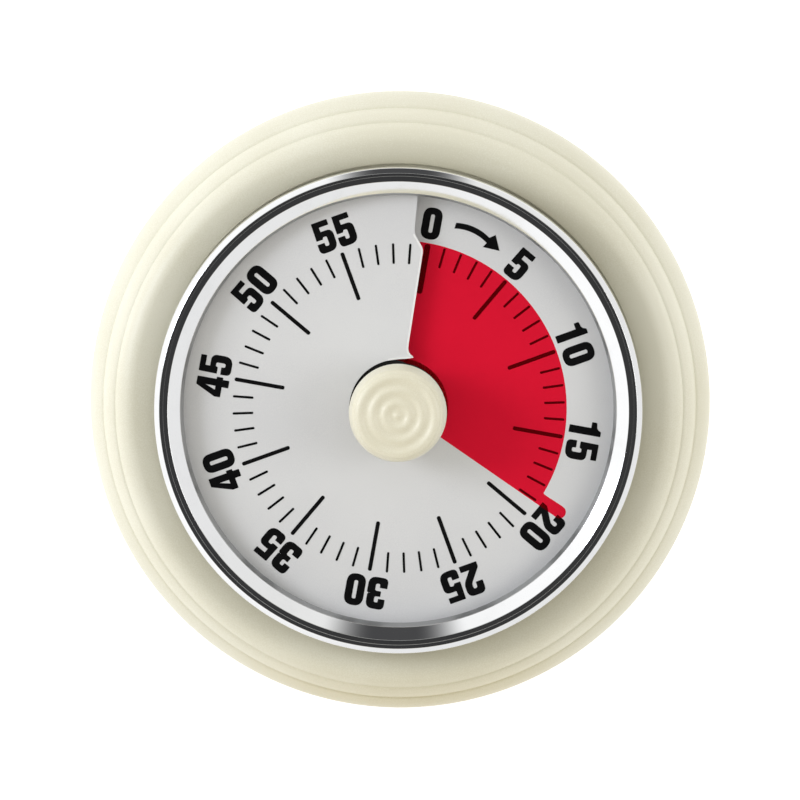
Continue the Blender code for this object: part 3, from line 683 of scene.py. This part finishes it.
# %% Rear shell
outline = [
    (20.3, 0.4, 0.1), (26.7, 0.4, 0.1), (26.7, 1.6, 0.1), (33.3, 1.6, 0.1), (33.3, 0.4, 0.1), (36.2, 0.4),
]
outline += bow((36.2, 0.4), (39.4, 5.0), 0.8, 16)
outline += [
    (39.7, PARTING - 0.15, 0.1), (39.5, PARTING, 0.05), (37.4, PARTING), (37.0, 5.6, 0.8), (35.2, 3.4, 0.5),
    (24.2, 3.4, 0.3), (23.4, 4.6, 0.3), (0, 4.6), (0, 1.3), (20.3, 1.3, 0.1),
]
rear_shell = turned("case_rear", rounded(outline, 4), 224)
carve(rear_shell, "UNION", ring_of(rod(3.4, 2.6, PARTING)))
bore = rounded([(0, 0.5), (2.6, 0.5), (2.6, 3.6, 0.1), (1.5, 3.6), (1.5, 9.0), (0, 9.0)], 3)
carve(rear_shell, "DIFFERENCE", ring_of(bore))
carve(rear_shell, "DIFFERENCE", ring_of(rod(6.3, 0.6, 3.6), 64, 11.0, (0, 180)))
finish(rear_shell, "case", "cream_shell", CASE_CREAM, "rear_shell")

# %% [markdown]
# ## Back
# The cover plate hides the two magnets and the rubber ring keeps the timer from sliding on a
# refrigerator door. The cover is turned with a shallow dished middle. The ring gets a rim of fine
# ribs, and ribs are what Geometry Nodes are for: one rib is modelled, and a tree sets it round the
# circle as many times as asked.

# %% Cover
cover = rounded([
    (0, 0.15), (17.6, 0.15, 0.2), (18.0, 0.0, 0.1), (20.0, 0.0, 0.25), (20.0, 1.0, 0.12), (0, 1.0),
], 4)
finish(turned("cover_plate", cover, 160), "case", "cream_cover", COVER_CREAM, "back_cover")

# %% [markdown]
# Two helpers serve every tree. The first makes an empty tree with named inputs, and the second runs
# it on a blank, sets each input by its socket's identifier and keeps the plain mesh that comes out.


# %% A Geometry Nodes helper
def geometry_tree(name, inputs):
    """An empty Geometry Nodes tree with one geometry in and out and these named inputs."""
    tree = bpy.data.node_groups.new(name, "GeometryNodeTree")
    tree.interface.new_socket(name="Geometry", in_out="INPUT", socket_type="NodeSocketGeometry")
    tree.interface.new_socket(name="Geometry", in_out="OUTPUT", socket_type="NodeSocketGeometry")
    for label, kind, value in inputs:
        socket = tree.interface.new_socket(name=label, in_out="INPUT", socket_type="NodeSocket" + kind)
        if value is not None:
            socket.default_value = value
    return tree, tree.nodes.new("NodeGroupInput").outputs, tree.nodes.new("NodeGroupOutput").inputs


def grow(obj, tree, **values):
    """Runs a Geometry Nodes tree on an object with these inputs and keeps the plain mesh."""
    modifier = obj.modifiers.new(tree.name, "NODES")
    modifier.node_group = tree
    sockets = {s.name: s.identifier for s in tree.interface.items_tree if s.in_out == "INPUT"}
    for label, value in values.items():
        modifier[sockets[label.replace("_", " ")]] = value
    return settle(obj)


# %% [markdown]
# The blank stands at the 0 mark. The tree turns each copy a step further clockwise, lifts it by its
# share of the rise, and can leave out every so many of them, as five-minute places have longer ticks.

# %% The tree that repeats a blank around the arbor
tree, given, out = geometry_tree("around_the_arbor", [
    ("Count", "Int", 12), ("First Turn", "Float", 0.0), ("Step", "Float", 6.0),
    ("Rise Per Turn", "Float", 0.0), ("Leave Out Every", "Int", 0), ("Finish", "Material", None),
])
index = node(tree, "GeometryNodeInputIndex").outputs[0]
turned_by = calculate(tree, "MULTIPLY_ADD", index, given["Step"], given["First Turn"])
lifted = calculate(tree, "MULTIPLY", calculate(tree, "DIVIDE", turned_by, 360.0), given["Rise Per Turn"])
spot = node(tree, "ShaderNodeCombineXYZ", {"Z": lifted}).outputs[0]
points = node(tree, "GeometryNodePoints", {"Count": given["Count"], "Position": spot}).outputs[0]
facing = calculate(tree, "MULTIPLY", calculate(tree, "RADIANS", turned_by), -1.0)
rotation = node(tree, "ShaderNodeCombineXYZ", {"Z": facing}).outputs[0]
left_over = calculate(tree, "MODULO", index, given["Leave Out Every"])
kept = node(tree, "FunctionNodeCompare", {0: left_over, 1: 0.5},
            data_type="FLOAT", operation="GREATER_THAN").outputs[0]
keeps_all = node(tree, "FunctionNodeCompare", {2: given["Leave Out Every"], 3: 1},
                 data_type="INT", operation="LESS_THAN").outputs[0]
wanted = node(tree, "FunctionNodeBooleanMath", {0: kept, 1: keeps_all}, operation="OR").outputs[0]
copies = node(tree, "GeometryNodeInstanceOnPoints", {
    "Points": points, "Selection": wanted, "Instance": given["Geometry"], "Rotation": rotation,
}).outputs[0]
real = node(tree, "GeometryNodeRealizeInstances", {"Geometry": copies}).outputs[0]
painted = node(tree, "GeometryNodeSetMaterial", {"Geometry": real, "Material": given["Finish"]}).outputs[0]
tree.links.new(painted, out["Geometry"])
AROUND_ARBOR = tree
print(AROUND_ARBOR.name, "built of", len(tree.nodes), "nodes")

# %% Rubber foot and its ribs
foot = rounded([(27.0, 0.25, 0.15), (32.9, 0.25, 0.15), (33.0, 1.3, 0.1), (27.0, 1.3, 0.1)], 4)
finish(turned("foot_ring_band", foot, 160), "case", "rubber", FOOT_RUBBER, "foot_ring")
RIB_HALF = 0.32
rib = rounded([
    (-RIB_HALF, 27.3, 0.3), (RIB_HALF, 27.3, 0.3), (RIB_HALF, 32.6, 0.3), (-RIB_HALF, 32.6, 0.3),
], 3)
bm = bmesh.new()
slab_into(bm, rib, 0.0, 0.4)
foot_ribs = grow(piece("foot_ring_ribs", bm), AROUND_ARBOR, Count=120, Step=3.0, Finish=FOOT_RUBBER)
finish(foot_ribs, "case", "rubber", FOOT_RUBBER)

# %% [markdown]
# Three screws come up from the back and hold the shells together. Each is turned in its own bore, and
# a cross for the driver is then cut into the heads.


# %% Case screws
ARM, SLOT = 1.3, 0.28


def cross_cut(bm):
    """Two crossed slots in each head, as a driver needs."""
    cross = [
        (-ARM, -SLOT), (-SLOT, -SLOT), (-SLOT, -ARM), (SLOT, -ARM), (SLOT, -SLOT), (ARM, -SLOT),
        (ARM, SLOT), (SLOT, SLOT), (SLOT, ARM), (-SLOT, ARM), (-SLOT, SLOT), (-ARM, SLOT),
    ]
    for degrees in BOSS_ANGLES:
        x, y = polar(BOSS_PLACE, degrees)
        slab_into(bm, [(x + a, y + b) for a, b in cross], 1.5, 2.7)


screw = rounded([(0, 1.9), (2.3, 1.9, 0.5), (2.3, 3.3, 0.05), (1.2, 3.3), (1.2, 14.6, 0.4), (0, 14.6)], 4)
bm = bmesh.new()
ring_of(screw)(bm)
screws = piece("case_screws", bm)
carve(screws, "DIFFERENCE", cross_cut)
finish(screws, "case", "steel", STEEL, "case_screw_1", "case_screw_2", "case_screw_3")

# %% [markdown]
# ## Bezel
# The ring is pressed sheet, chromed after. From outside in it shows a thin bright chamfer, a flat
# with one fine groove that mirrors the dark overhead, a bright slope down to the dial and a short
# grey throat. The slope is 35 degrees, because a steeper one would mirror the knob all the way
# round: every radial mirror looks across the axis. The corners between keep tight fillets.

# %% Bezel ring
wall = [(30.2, 17.9), (30.9, 17.9, 0.1), (30.9, 22.9, 0.3)]
chamfer = [(31.25, 23.4, 0.3), (31.42, 23.95, 0.3), (31.3, 24.57, 0.1), (30.67, 25.0, 0.08)]
groove = [(30.34, 25.0), (30.3, 25.0), (30.24, 24.981), (30.18, 25.0), (30.14, 25.0)]
slope = [(29.6, 25.0, 0.08), (28.0, 23.88, 0.08), (27.6, 22.2, 0.06), (30.2, 22.2)]
bezel = rounded(wall + chamfer + groove + slope, 5)
finish(turned("bezel", bezel, 288, sharp=50.0), "case", "chrome", CHROME, "bezel_ring")

# %% [markdown]
# ## Dial
# The dial is the clever part: a flat ring cut along one radius, with its two ends pulled apart by
# one pitch, so that it is one turn of a screw surface. The red disc is a second turn of the same
# screw, half a pitch higher, and turning it makes it sink through the slit. Both are drawn flat, as
# a strip with degrees along one side and radius along the other, and one Geometry Nodes tree winds
# the strip onto the screw. The rule is the same for both, so the two can never touch.

# %% The tree that winds a flat strip onto the screw
PITCH = 2.0
DIAL_HEIGHT, DIAL_THICKNESS = 19.6, 0.4
tree, given, out = geometry_tree("wind_on_screw", [
    ("Pitch", "Float", PITCH * MM), ("Finish", "Material", None),
])
strip = node(tree, "ShaderNodeSeparateXYZ", {0: node(tree, "GeometryNodeInputPosition").outputs[0]}).outputs
angle = calculate(tree, "RADIANS", strip["X"])
across = calculate(tree, "MULTIPLY", strip["Y"], calculate(tree, "SINE", angle))
upward = calculate(tree, "MULTIPLY", strip["Y"], calculate(tree, "COSINE", angle))
turns = calculate(tree, "DIVIDE", strip["X"], 360.0)
height = calculate(tree, "MULTIPLY_ADD", turns, given["Pitch"], strip["Z"])
wound = node(tree, "ShaderNodeCombineXYZ", {"X": across, "Y": upward, "Z": height}).outputs[0]
moved = node(tree, "GeometryNodeSetPosition", {"Geometry": given["Geometry"], "Position": wound}).outputs[0]
real = node(tree, "GeometryNodeRealizeInstances", {"Geometry": moved}).outputs[0]
painted = node(tree, "GeometryNodeSetMaterial", {"Geometry": real, "Material": given["Finish"]}).outputs[0]
tree.links.new(painted, out["Geometry"])
WIND = tree
print(WIND.name, "built of", len(tree.nodes), "nodes")


# %% Flat strips
def strip_piece(name, stations, middle, thickness, material):
    """Winds a closed strip. Each station is a list of (degrees, radius) from the middle out."""
    bm = bmesh.new()
    layers = []
    for side in (-0.5, 0.5):
        z = (middle + side * thickness) * MM
        layers.append([[bm.verts.new((d, r * MM, z)) for d, r in row] for row in stations])
    low, high = layers
    last, width = len(stations) - 1, len(stations[0]) - 1
    for i in range(last):
        for j in range(width):
            bm.faces.new((low[i][j], low[i][j + 1], low[i + 1][j + 1], low[i + 1][j]))
            bm.faces.new((high[i][j], high[i + 1][j], high[i + 1][j + 1], high[i][j + 1]))
        bm.faces.new((low[i][0], low[i + 1][0], high[i + 1][0], high[i][0]))
        bm.faces.new((low[i + 1][width], low[i][width], high[i][width], high[i + 1][width]))
    for j in range(width):
        bm.faces.new((low[0][j + 1], low[0][j], high[0][j], high[0][j + 1]))
        bm.faces.new((low[last][j], low[last][j + 1], high[last][j + 1], high[last][j]))
    mesh = bpy.data.meshes.new(name)
    bm.to_mesh(mesh)
    bm.free()
    obj = bpy.data.objects.new(name, mesh)
    bpy.context.scene.collection.objects.link(obj)
    grow(obj, WIND, Pitch=PITCH * MM, Finish=material)
    bm = bmesh.new()
    bm.from_mesh(obj.data)
    bmesh.ops.recalc_face_normals(bm, faces=bm.faces)
    bm.to_mesh(obj.data)
    bm.free()
    return obj


# %% [markdown]
# The dial's flap, the end that stands over the slit, is cut back near the rim so that the pointer can
# pass, and runs out in a small curled lip at the hole. Its edge is drawn as degrees at each radius,
# and every row of the strip ends on it.

# %% Dial plate
DIAL_START, FLAP_EDGE, FLAP_CUT_BACK = -8.0, 358.7, 355.0
lip = [(6.35, 338.0), (6.4, 350.0), (6.5, 357.0), (6.66, 362.0), (6.86, 366.0), (7.0, 365.0), (7.15, 362.4),
       (7.4, 360.3), (7.8, 359.1)]
step_back = [(8.4, FLAP_EDGE), (20.8, FLAP_EDGE, 1.2), (22.7, FLAP_CUT_BACK, 1.2), (28.7, FLAP_CUT_BACK)]
edge = [Vector(p) for p in lip] + rounded(step_back, 5, closed=False)
steps = 240
stations = []
for i in range(steps + 1):
    share = i / steps
    stations.append([(DIAL_START + (end - DIAL_START) * share, radius) for radius, end in edge])
dial_plate = strip_piece("dial_face", stations, DIAL_HEIGHT, DIAL_THICKNESS, DIAL_SILVER)
finish(dial_plate, "case", "dial_white", DIAL_SILVER, "dial_plate")

# %% [markdown]
# The seat is a grey ring under the dial. Its ledge climbs with the screw, so the dial rests on it all
# the way round, and three holes take the screws of the movement.

# %% Dial seat
bm = bmesh.new()
rings = []
steps = 180
for i in range(steps + 1):
    degrees = DIAL_START - 2.0 + 360.0 * i / steps
    ledge = DIAL_HEIGHT + PITCH * degrees / 360.0 - DIAL_THICKNESS / 2 - 0.3
    section = rounded([
        (22.8, 16.3, 0.1), (28.6, 16.3, 0.1), (28.6, 17.9), (29.9, 17.9), (29.9, 21.9, 0.1),
        (29.1, 21.9, 0.1), (29.1, ledge), (26.2, ledge, 0.1), (26.2, 17.5), (22.8, 17.5, 0.1),
    ], 2)
    shown = degrees - 1.0 if i == steps else degrees
    rings.append([bm.verts.new((*[x * MM for x in clockwise(r, shown)], z * MM)) for r, z in section])
for ring, following in zip(rings, rings[1:] + rings[:1]):
    for j in range(len(ring)):
        k = (j + 1) % len(ring)
        bm.faces.new((ring[j], ring[k], following[k], following[j]))
seat = piece("dial_seat_ring", bm)
carve(seat, "DIFFERENCE", ring_of(rod(1.2, 15.8, 18.2), 24, 24.2, (15, 135, 255)))
finish(seat, "case", "grey_plastic", SEAT_GREY, "dial_seat")

# %% [markdown]
# ## Print
# Ink stands a few hundredths of a millimetre proud of the dial. Ticks repeat, so one rounded tick
# is drawn at the 0 mark and the tree that made the ribs sets it round, climbing with the screw as
# it goes. Numerals are a heavy condensed face drawn here from straight runs and fillets, because a
# dial's figures have their own squarish bowls that no ready font gives.

# %% Ticks
PRINT_TOP = DIAL_HEIGHT + DIAL_THICKNESS / 2
INK = 0.03


def tick(name, width, inner, outer, **around):
    """A ring of ticks with round ends, each as wide as said and from one radius to another."""
    half = width / 2
    sides = [(-half, inner, half), (half, inner, half), (half, outer, half), (-half, outer, half)]
    bm = bmesh.new()
    slab_into(bm, rounded(sides, 3), PRINT_TOP - INK, PRINT_TOP + INK)
    made = grow(piece(name, bm), AROUND_ARBOR, Rise_Per_Turn=PITCH * MM, Finish=INK_BLACK, **around)
    return finish(made, "case", "dial_white", INK_BLACK)


tick("minute_ticks", 0.3, 18.7, 21.35, Count=60, Step=6.0, Leave_Out_Every=5)
tick("five_minute_ticks", 0.5, 14.9, 21.4, Count=11, First_Turn=30.0, Step=30.0)
tick("zero_tick", 0.75, 14.9, 21.4, Count=1)

# %% [markdown]
# Each figure is given as its width and its outlines, with a counter after the outer line where it
# has one. A point is (x, y, fillet) in millimetres from the figure's lower left corner. Printing
# presses the ink a little past its outline, and **swell** does the same.

# %% The figures
TOP = 4.07
FIGURES = {
    "0": (2.4, [(0, 0, 1.15), (2.4, 0, 1.15), (2.4, TOP, 1.15), (0, TOP, 1.15)],
          [(0.91, 0.8, 0.29), (1.49, 0.8, 0.29), (1.49, 3.27, 0.29), (0.91, 3.27, 0.29)]),
    "1": (1.68, [(0.77, 0), (1.68, 0), (1.68, TOP), (1.12, TOP, 0.1), (0.82, 3.52, 0.6), (0, 3.4, 0.1),
                 (0, 2.8), (0.77, 2.8)]),
    "2": (2.35, [(0, 0), (2.3, 0), (2.3, 0.74), (1.12, 0.74), (2.35, 2.3, 1.5), (2.35, TOP, 1.12),
                 (0, TOP, 1.12), (0, 2.5), (0.86, 2.5), (0.86, 3.28, 0.29), (1.46, 3.28, 0.29),
                 (1.46, 2.52, 0.9), (0, 0.68, 0.4)]),
    "3": (2.45, [(0, 1.27), (0, 0, 1.1), (2.45, 0, 1.15), (2.45, 2.1, 0.62), (1.96, 2.13, 0.08),
                 (2.37, 2.2, 0.55), (2.37, TOP, 1.12), (0.08, TOP, 1.12), (0.08, 2.78), (0.87, 2.78),
                 (0.87, 3.28, 0.28), (1.46, 3.28, 0.28), (1.46, 2.42, 0.3), (0.72, 2.42), (0.72, 1.78),
                 (1.52, 1.78, 0.3), (1.52, 0.77, 0.29), (0.9, 0.77, 0.29), (0.9, 1.27)]),
    "4": (2.5, [(1.33, 0), (2.22, 0), (2.22, 0.84), (2.5, 0.84), (2.5, 1.6), (2.22, 1.6), (2.22, TOP),
                (1.22, TOP), (0, 1.56), (0, 0.84), (1.33, 0.84)],
          [(0.8, 1.6, 0), (1.36, 1.6, 0), (1.36, 2.95, 0)]),
    "5": (2.38, [(0, 1.25), (0, 0, 1.05), (2.38, 0, 1.12), (2.38, 2.72, 1.0), (0.86, 2.72, 0.12),
                 (0.86, 3.39), (2.15, 3.39), (2.15, TOP), (0.1, TOP), (0.05, 1.78), (0.82, 1.78),
                 (0.95, 2.06, 0.25), (1.5, 2.06, 0.29), (1.5, 0.76, 0.29), (0.88, 0.76, 0.29),
                 (0.88, 1.25)]),
}
NUMERAL_FOOT = 22.05
FIGURE_GAP = 0.4
AFTER_ONE = 0.98
INK_SPREAD = 0.035
PLAIN_CORNER = 0.05
print("figures drawn:", " ".join(FIGURES))


# %% Laying ink on the dial
def swell(loop, by):
    """The outline moved outwards all round, as ink spreads under the printing pad."""
    moved = []
    for before, point, after in zip(loop[-1:] + loop[:-1], loop, loop[1:] + loop[:1]):
        along = ((point - before).normalized() + (after - point).normalized()).normalized()
        moved.append(point + Vector((along.y, -along.x)) * by)
    return moved


def bearing(x, y):
    """Degrees clockwise from the 0 mark."""
    return math.degrees(math.atan2(x, y))


def ink_into(bm, loops, place):
    """Fills the outlines and lays them on the dial, where place gives each point's x, y and degrees."""
    edges = []
    for loop in loops:
        verts = [bm.verts.new((*p, 0)) for p in loop]
        edges += [bm.edges.new(pair) for pair in zip(verts, verts[1:] + verts[:1])]
    filled = bmesh.ops.triangle_fill(bm, edges=edges, use_beauty=True)["geom"]
    faces = [f for f in filled if isinstance(f, bmesh.types.BMFace)]
    raised = bmesh.ops.extrude_face_region(bm, geom=faces, use_keep_orig=True)["geom"]
    upper = {v for v in raised if isinstance(v, bmesh.types.BMVert)}
    for vert in {v for f in faces for v in f.verts} | upper:
        x, y, degrees = place(vert.co.x, vert.co.y)
        lift = INK if vert in upper else -INK
        vert.co = (x * MM, y * MM, (PRINT_TOP + PITCH * degrees / 360.0 + lift) * MM)


def numeral(bm, text, degrees):
    """One number, upright for a reader outside the dial, centred on its tick."""
    gaps = [AFTER_ONE if figure == "1" else FIGURE_GAP for figure in text[:-1]]
    x = -(sum(FIGURES[figure][0] for figure in text) + sum(gaps)) / 2
    for figure, gap in zip(text, gaps + [0.0]):
        width, *outlines = FIGURES[figure]
        loops = []
        for outline in outlines:
            drawn = rounded([(*q[:2], q[2] if len(q) > 2 else PLAIN_CORNER) for q in outline], 6)
            spread = swell(drawn, -INK_SPREAD if loops else INK_SPREAD)
            loops.append([(x + p.x, NUMERAL_FOOT + p.y) for p in spread])

        def place(a, b):
            turned_to = degrees + bearing(a, b)
            return (*clockwise(math.hypot(a, b), turned_to), turned_to)

        part = bmesh.new()
        ink_into(part, loops, place)
        mesh = bpy.data.meshes.new("figure")
        part.to_mesh(mesh)
        part.free()
        bm.from_mesh(mesh)
        x += width + gap


# %% Numerals
bm = bmesh.new()
for minutes in range(0, 60, 5):
    numeral(bm, str(minutes), minutes * 6.0)
finish(piece("numerals", bm), "case", "dial_white", INK_BLACK)

# %% [markdown]
# A small bent arrow after the 0 shows which way to wind. Its shaft is drawn as a radius at each
# bearing, so that it follows the dial and still bows outward a little more than the dial does.


# %% Turning arrow
SHAFT_HALF = 0.38
SHAFT_RADIUS, SHAFT_FALL, SHAFT_BOW = 24.55, 0.13, 1.4
TAIL_BEARING, SHAFT_SWEEP = 7.1, 10.8


def shaft_side(offset):
    """One side of the bent shaft, from its tail to its head."""
    side = []
    for t in [i / 16 for i in range(17)]:
        radius = SHAFT_RADIUS - SHAFT_FALL * t + SHAFT_BOW * t * (1 - t) + offset
        side.append((radius, TAIL_BEARING + SHAFT_SWEEP * t))
    return side


shaft = shaft_side(-SHAFT_HALF)
head = [(23.35, 17.4), (24.0, 22.5), (25.5, 19.1)]
back = shaft_side(SHAFT_HALF)[::-1]
bm = bmesh.new()
ink_into(bm, [[clockwise(r, a) for r, a in shaft + head + back]], lambda x, y: (x, y, bearing(x, y)))
finish(piece("turning_arrow", bm), "case", "dial_white", INK_BLACK)

# %% [markdown]
# A painted highlight: a thin near-white line laid along the flap's cut edge, where the edge catches
# the light. The line follows the same edge that the dial was drawn with, so the two can't drift apart.

# %% Painted highlight along the flap's edge
HIGHLIGHT_WIDTH = 0.24
# Painted highlight: a near-white colour for the lit cut edge of the flap.
EDGE_HIGHLIGHT_WHITE = plastic("edge_highlight_white", srgb(253, 252, 250), srgb(248, 247, 245), 0.1, 6.0,
                     (0.35, 0.45), 0.002, smear=0.0)


def on_the_flap(x, y):
    """The same place with its degrees, which the flap counts on past a whole turn."""
    degrees = bearing(x, y) % 360.0
    return x, y, degrees + 360.0 if degrees < 57.0 else degrees


rim = [Vector(clockwise(radius, degrees)) for radius, degrees in edge if radius < 22.9]
inner_line = []
for before, point, after in zip(rim[:1] + rim[:-1], rim, rim[1:] + rim[-1:]):
    along = (after - before).normalized()
    inner_line.append(point - Vector((along.y, -along.x)) * HIGHLIGHT_WIDTH)
bm = bmesh.new()
ink_into(bm, [[tuple(p) for p in rim + inner_line[::-1]]], on_the_flap)
finish(piece("flap_edge_highlight", bm), "case", "dial_white", EDGE_HIGHLIGHT_WHITE)

# %% [markdown]
# ## Red disc
# The film is wound on the same screw half a pitch above the dial. Its leading edge carries a narrow
# tab with a round end, the pointer that reads the numerals. One strip makes both: the outer radius
# is simply a different number at each station near the end. A thin black strip, wound the same way
# on the film's inner edge, is painted shade: it darkens the gap round the knob. It is narrower along
# the leading part, which has to pass the slit.

# %% Time disc
SET_ANGLE, DISC_SPAN = 114.6, 372.0
DISC_INNER, DISC_RADIUS, FILM = 5.2, 21.6, 0.25
TAB_TOP, TAB_WIDTH, TAB_ROUND = 25.45, 3.66, 0.78
sweep_end = SET_ANGLE - 5.0
sweep_start = SET_ANGLE - DISC_SPAN
steps = 240
span = sweep_end - SET_ANGLE + DISC_SPAN
sweep = [(sweep_start + span * i / steps, DISC_RADIUS) for i in range(steps + 1)]
tab = rounded([
    (sweep_end, DISC_RADIUS), (SET_ANGLE - 4.02, DISC_RADIUS, 0.5), (SET_ANGLE - TAB_WIDTH, TAB_TOP, 1.0),
    (SET_ANGLE, TAB_TOP, 1.5),
], 8, closed=False)
round_end = []
for i in range(15):
    t = (1 - math.cos(math.pi * i / 14)) / 2
    drop = TAB_ROUND * (1 - math.sqrt(max(0.0, 1 - (2 * t - 1) ** 2)))
    round_end.append((SET_ANGLE - TAB_WIDTH * (1 - t), TAB_TOP - drop))
rise = [p for p in tab if p[0] < SET_ANGLE - TAB_WIDTH - 1e-6 and p[0] > sweep_end][:-1]
outer = sweep + [tuple(p) for p in rise if p[1] < round_end[0][1]] + round_end
stations = [[(d, DISC_INNER), (d, 9.0), (d, 14.0), (d, 18.0), (d, r)] for d, r in outer]
time_disc = strip_piece("time_film", stations, DIAL_HEIGHT + PITCH / 2, FILM, FILM_RED)
finish(time_disc, "disc", "disc_red", FILM_RED, "time_disc")

# %% Painted shade in the gap round the knob
SHADE_WIDE, SHADE_NARROW, SHADE_THICKNESS = 6.5, 5.85, 0.15
NARROWING = 25.0
# Painted shade: a black strip darkens the gap between the dial's hole and the knob.
GAP_SHADE_BLACK = plastic("gap_shade_black", (0.012, 0.012, 0.012, 1), (0.02, 0.02, 0.02, 1), 0.15, 4.0,
                       (0.5, 0.65), 0.004, smear=0.0, Specular_IOR_Level=0.2)
stations = []
for degrees in [d for d, r in sweep] + [SET_ANGLE]:
    share = min(1.0, max(0.0, -degrees / NARROWING))
    stations.append([(degrees, 4.7), (degrees, SHADE_NARROW + (SHADE_WIDE - SHADE_NARROW) * share)])
gap_shade_height = DIAL_HEIGHT + PITCH / 2 + FILM / 2 + SHADE_THICKNESS / 2 + 0.02
gap_shade = strip_piece("gap_shade_strip", stations, gap_shade_height, SHADE_THICKNESS, GAP_SHADE_BLACK)
finish(gap_shade, "disc", "grey_plastic", GAP_SHADE_BLACK)

# %% [markdown]
# ## Hub and knob
# The hub holds the film and slides on the arbor's square, so its bore is cut square. The knob is
# turned with three soft rings on its face and a small dimple; a cosine wave along the radius draws
# them better than fillets would.

# %% Hub
low_hub, high_hub = [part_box("disc_hub")[k].z / MM for k in (0, 1)]
section = rounded([(0, low_hub), (4.9, low_hub, 0.2), (4.9, high_hub, 0.3), (0, high_hub)], 4)
hub = turned("film_hub", section, 96)
SQUARE = 1.4


def square_hole(low, high):
    """Draws the square bore that fits the arbor."""
    corners = [(SQUARE, SQUARE), (-SQUARE, SQUARE), (-SQUARE, -SQUARE), (SQUARE, -SQUARE)]
    return lambda bm: slab_into(bm, corners, low, high)


carve(hub, "DIFFERENCE", square_hole(low_hub - 1.0, high_hub + 1.0))
finish(hub, "disc", "grey_plastic", HUB_GREY, "disc_hub")

# %% Knob
KNOB_RADIUS, KNOB_TOP = 6.33, 30.5
WAVE_DEPTH, WAVE_LENGTH, WAVE_CREST = 0.12, 0.26, 0.77
FACE_SHARE = 0.868
side = bow((5.85, 23.9), (5.98, 29.2), 0.36, 12)
edge_points = [(0, 23.6), (5.7, 23.6, 0.1), (5.85, 23.9)] + side + [(5.85, 29.85, 0.4), (5.5, 30.15)]
rim = rounded(edge_points, 5, closed=False)
face = []
for i in range(1, 73):
    share = FACE_SHARE * (1 - i / 72)
    swing = math.cos(TURN * (share - WAVE_CREST) / WAVE_LENGTH)
    face.append(Vector((share * KNOB_RADIUS, KNOB_TOP - WAVE_DEPTH + WAVE_DEPTH * swing)))
knob = turned("knob", rim + face, 144)
carve(knob, "DIFFERENCE", square_hole(22.0, 29.5))
finish(knob, "knob", "cream_knob", KNOB_CREAM, "setting_knob")

# %% [markdown]
# ## Movement
# The wheels, plates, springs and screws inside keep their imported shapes, and only need their real
# finishes. Their slots in the record say what each is made of.

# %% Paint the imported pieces
PAINTS = {"brass": BRASS, "steel": STEEL, "spring_steel": BLUED, "magnet": FERRITE}
slots = {part["node"]: part["material_slot"] for part in frame["record"]["subparts"]}
for name, obj in sorted(frame["nodes"].items()):
    if obj.hide_render:
        continue
    paint = PAINTS[slots[name]]
    for i in range(max(1, len(obj.data.materials))):
        if i < len(obj.material_slots):
            obj.material_slots[i].material = paint
        else:
            obj.data.materials.append(paint)
    print(name, "painted", paint.name)

# %% [markdown]
# ## Floor
# A plain white floor that glows a little, as a lit table does, so that hardly any shade gathers
# round the case.

# %% Floor
bm = bmesh.new()
bmesh.ops.create_circle(bm, cap_ends=True, radius=3.0, segments=96)
floor = piece("floor", bm)
white, tree, shader = material("white_floor", Roughness=0.6, Specular_IOR_Level=0.2)
shader.inputs["Base Color"].default_value = (0.5, 0.5, 0.5, 1)
shader.inputs["Emission Color"].default_value = (1, 1, 1, 1)
shader.inputs["Emission Strength"].default_value = 0.75
floor.data.materials.append(white)
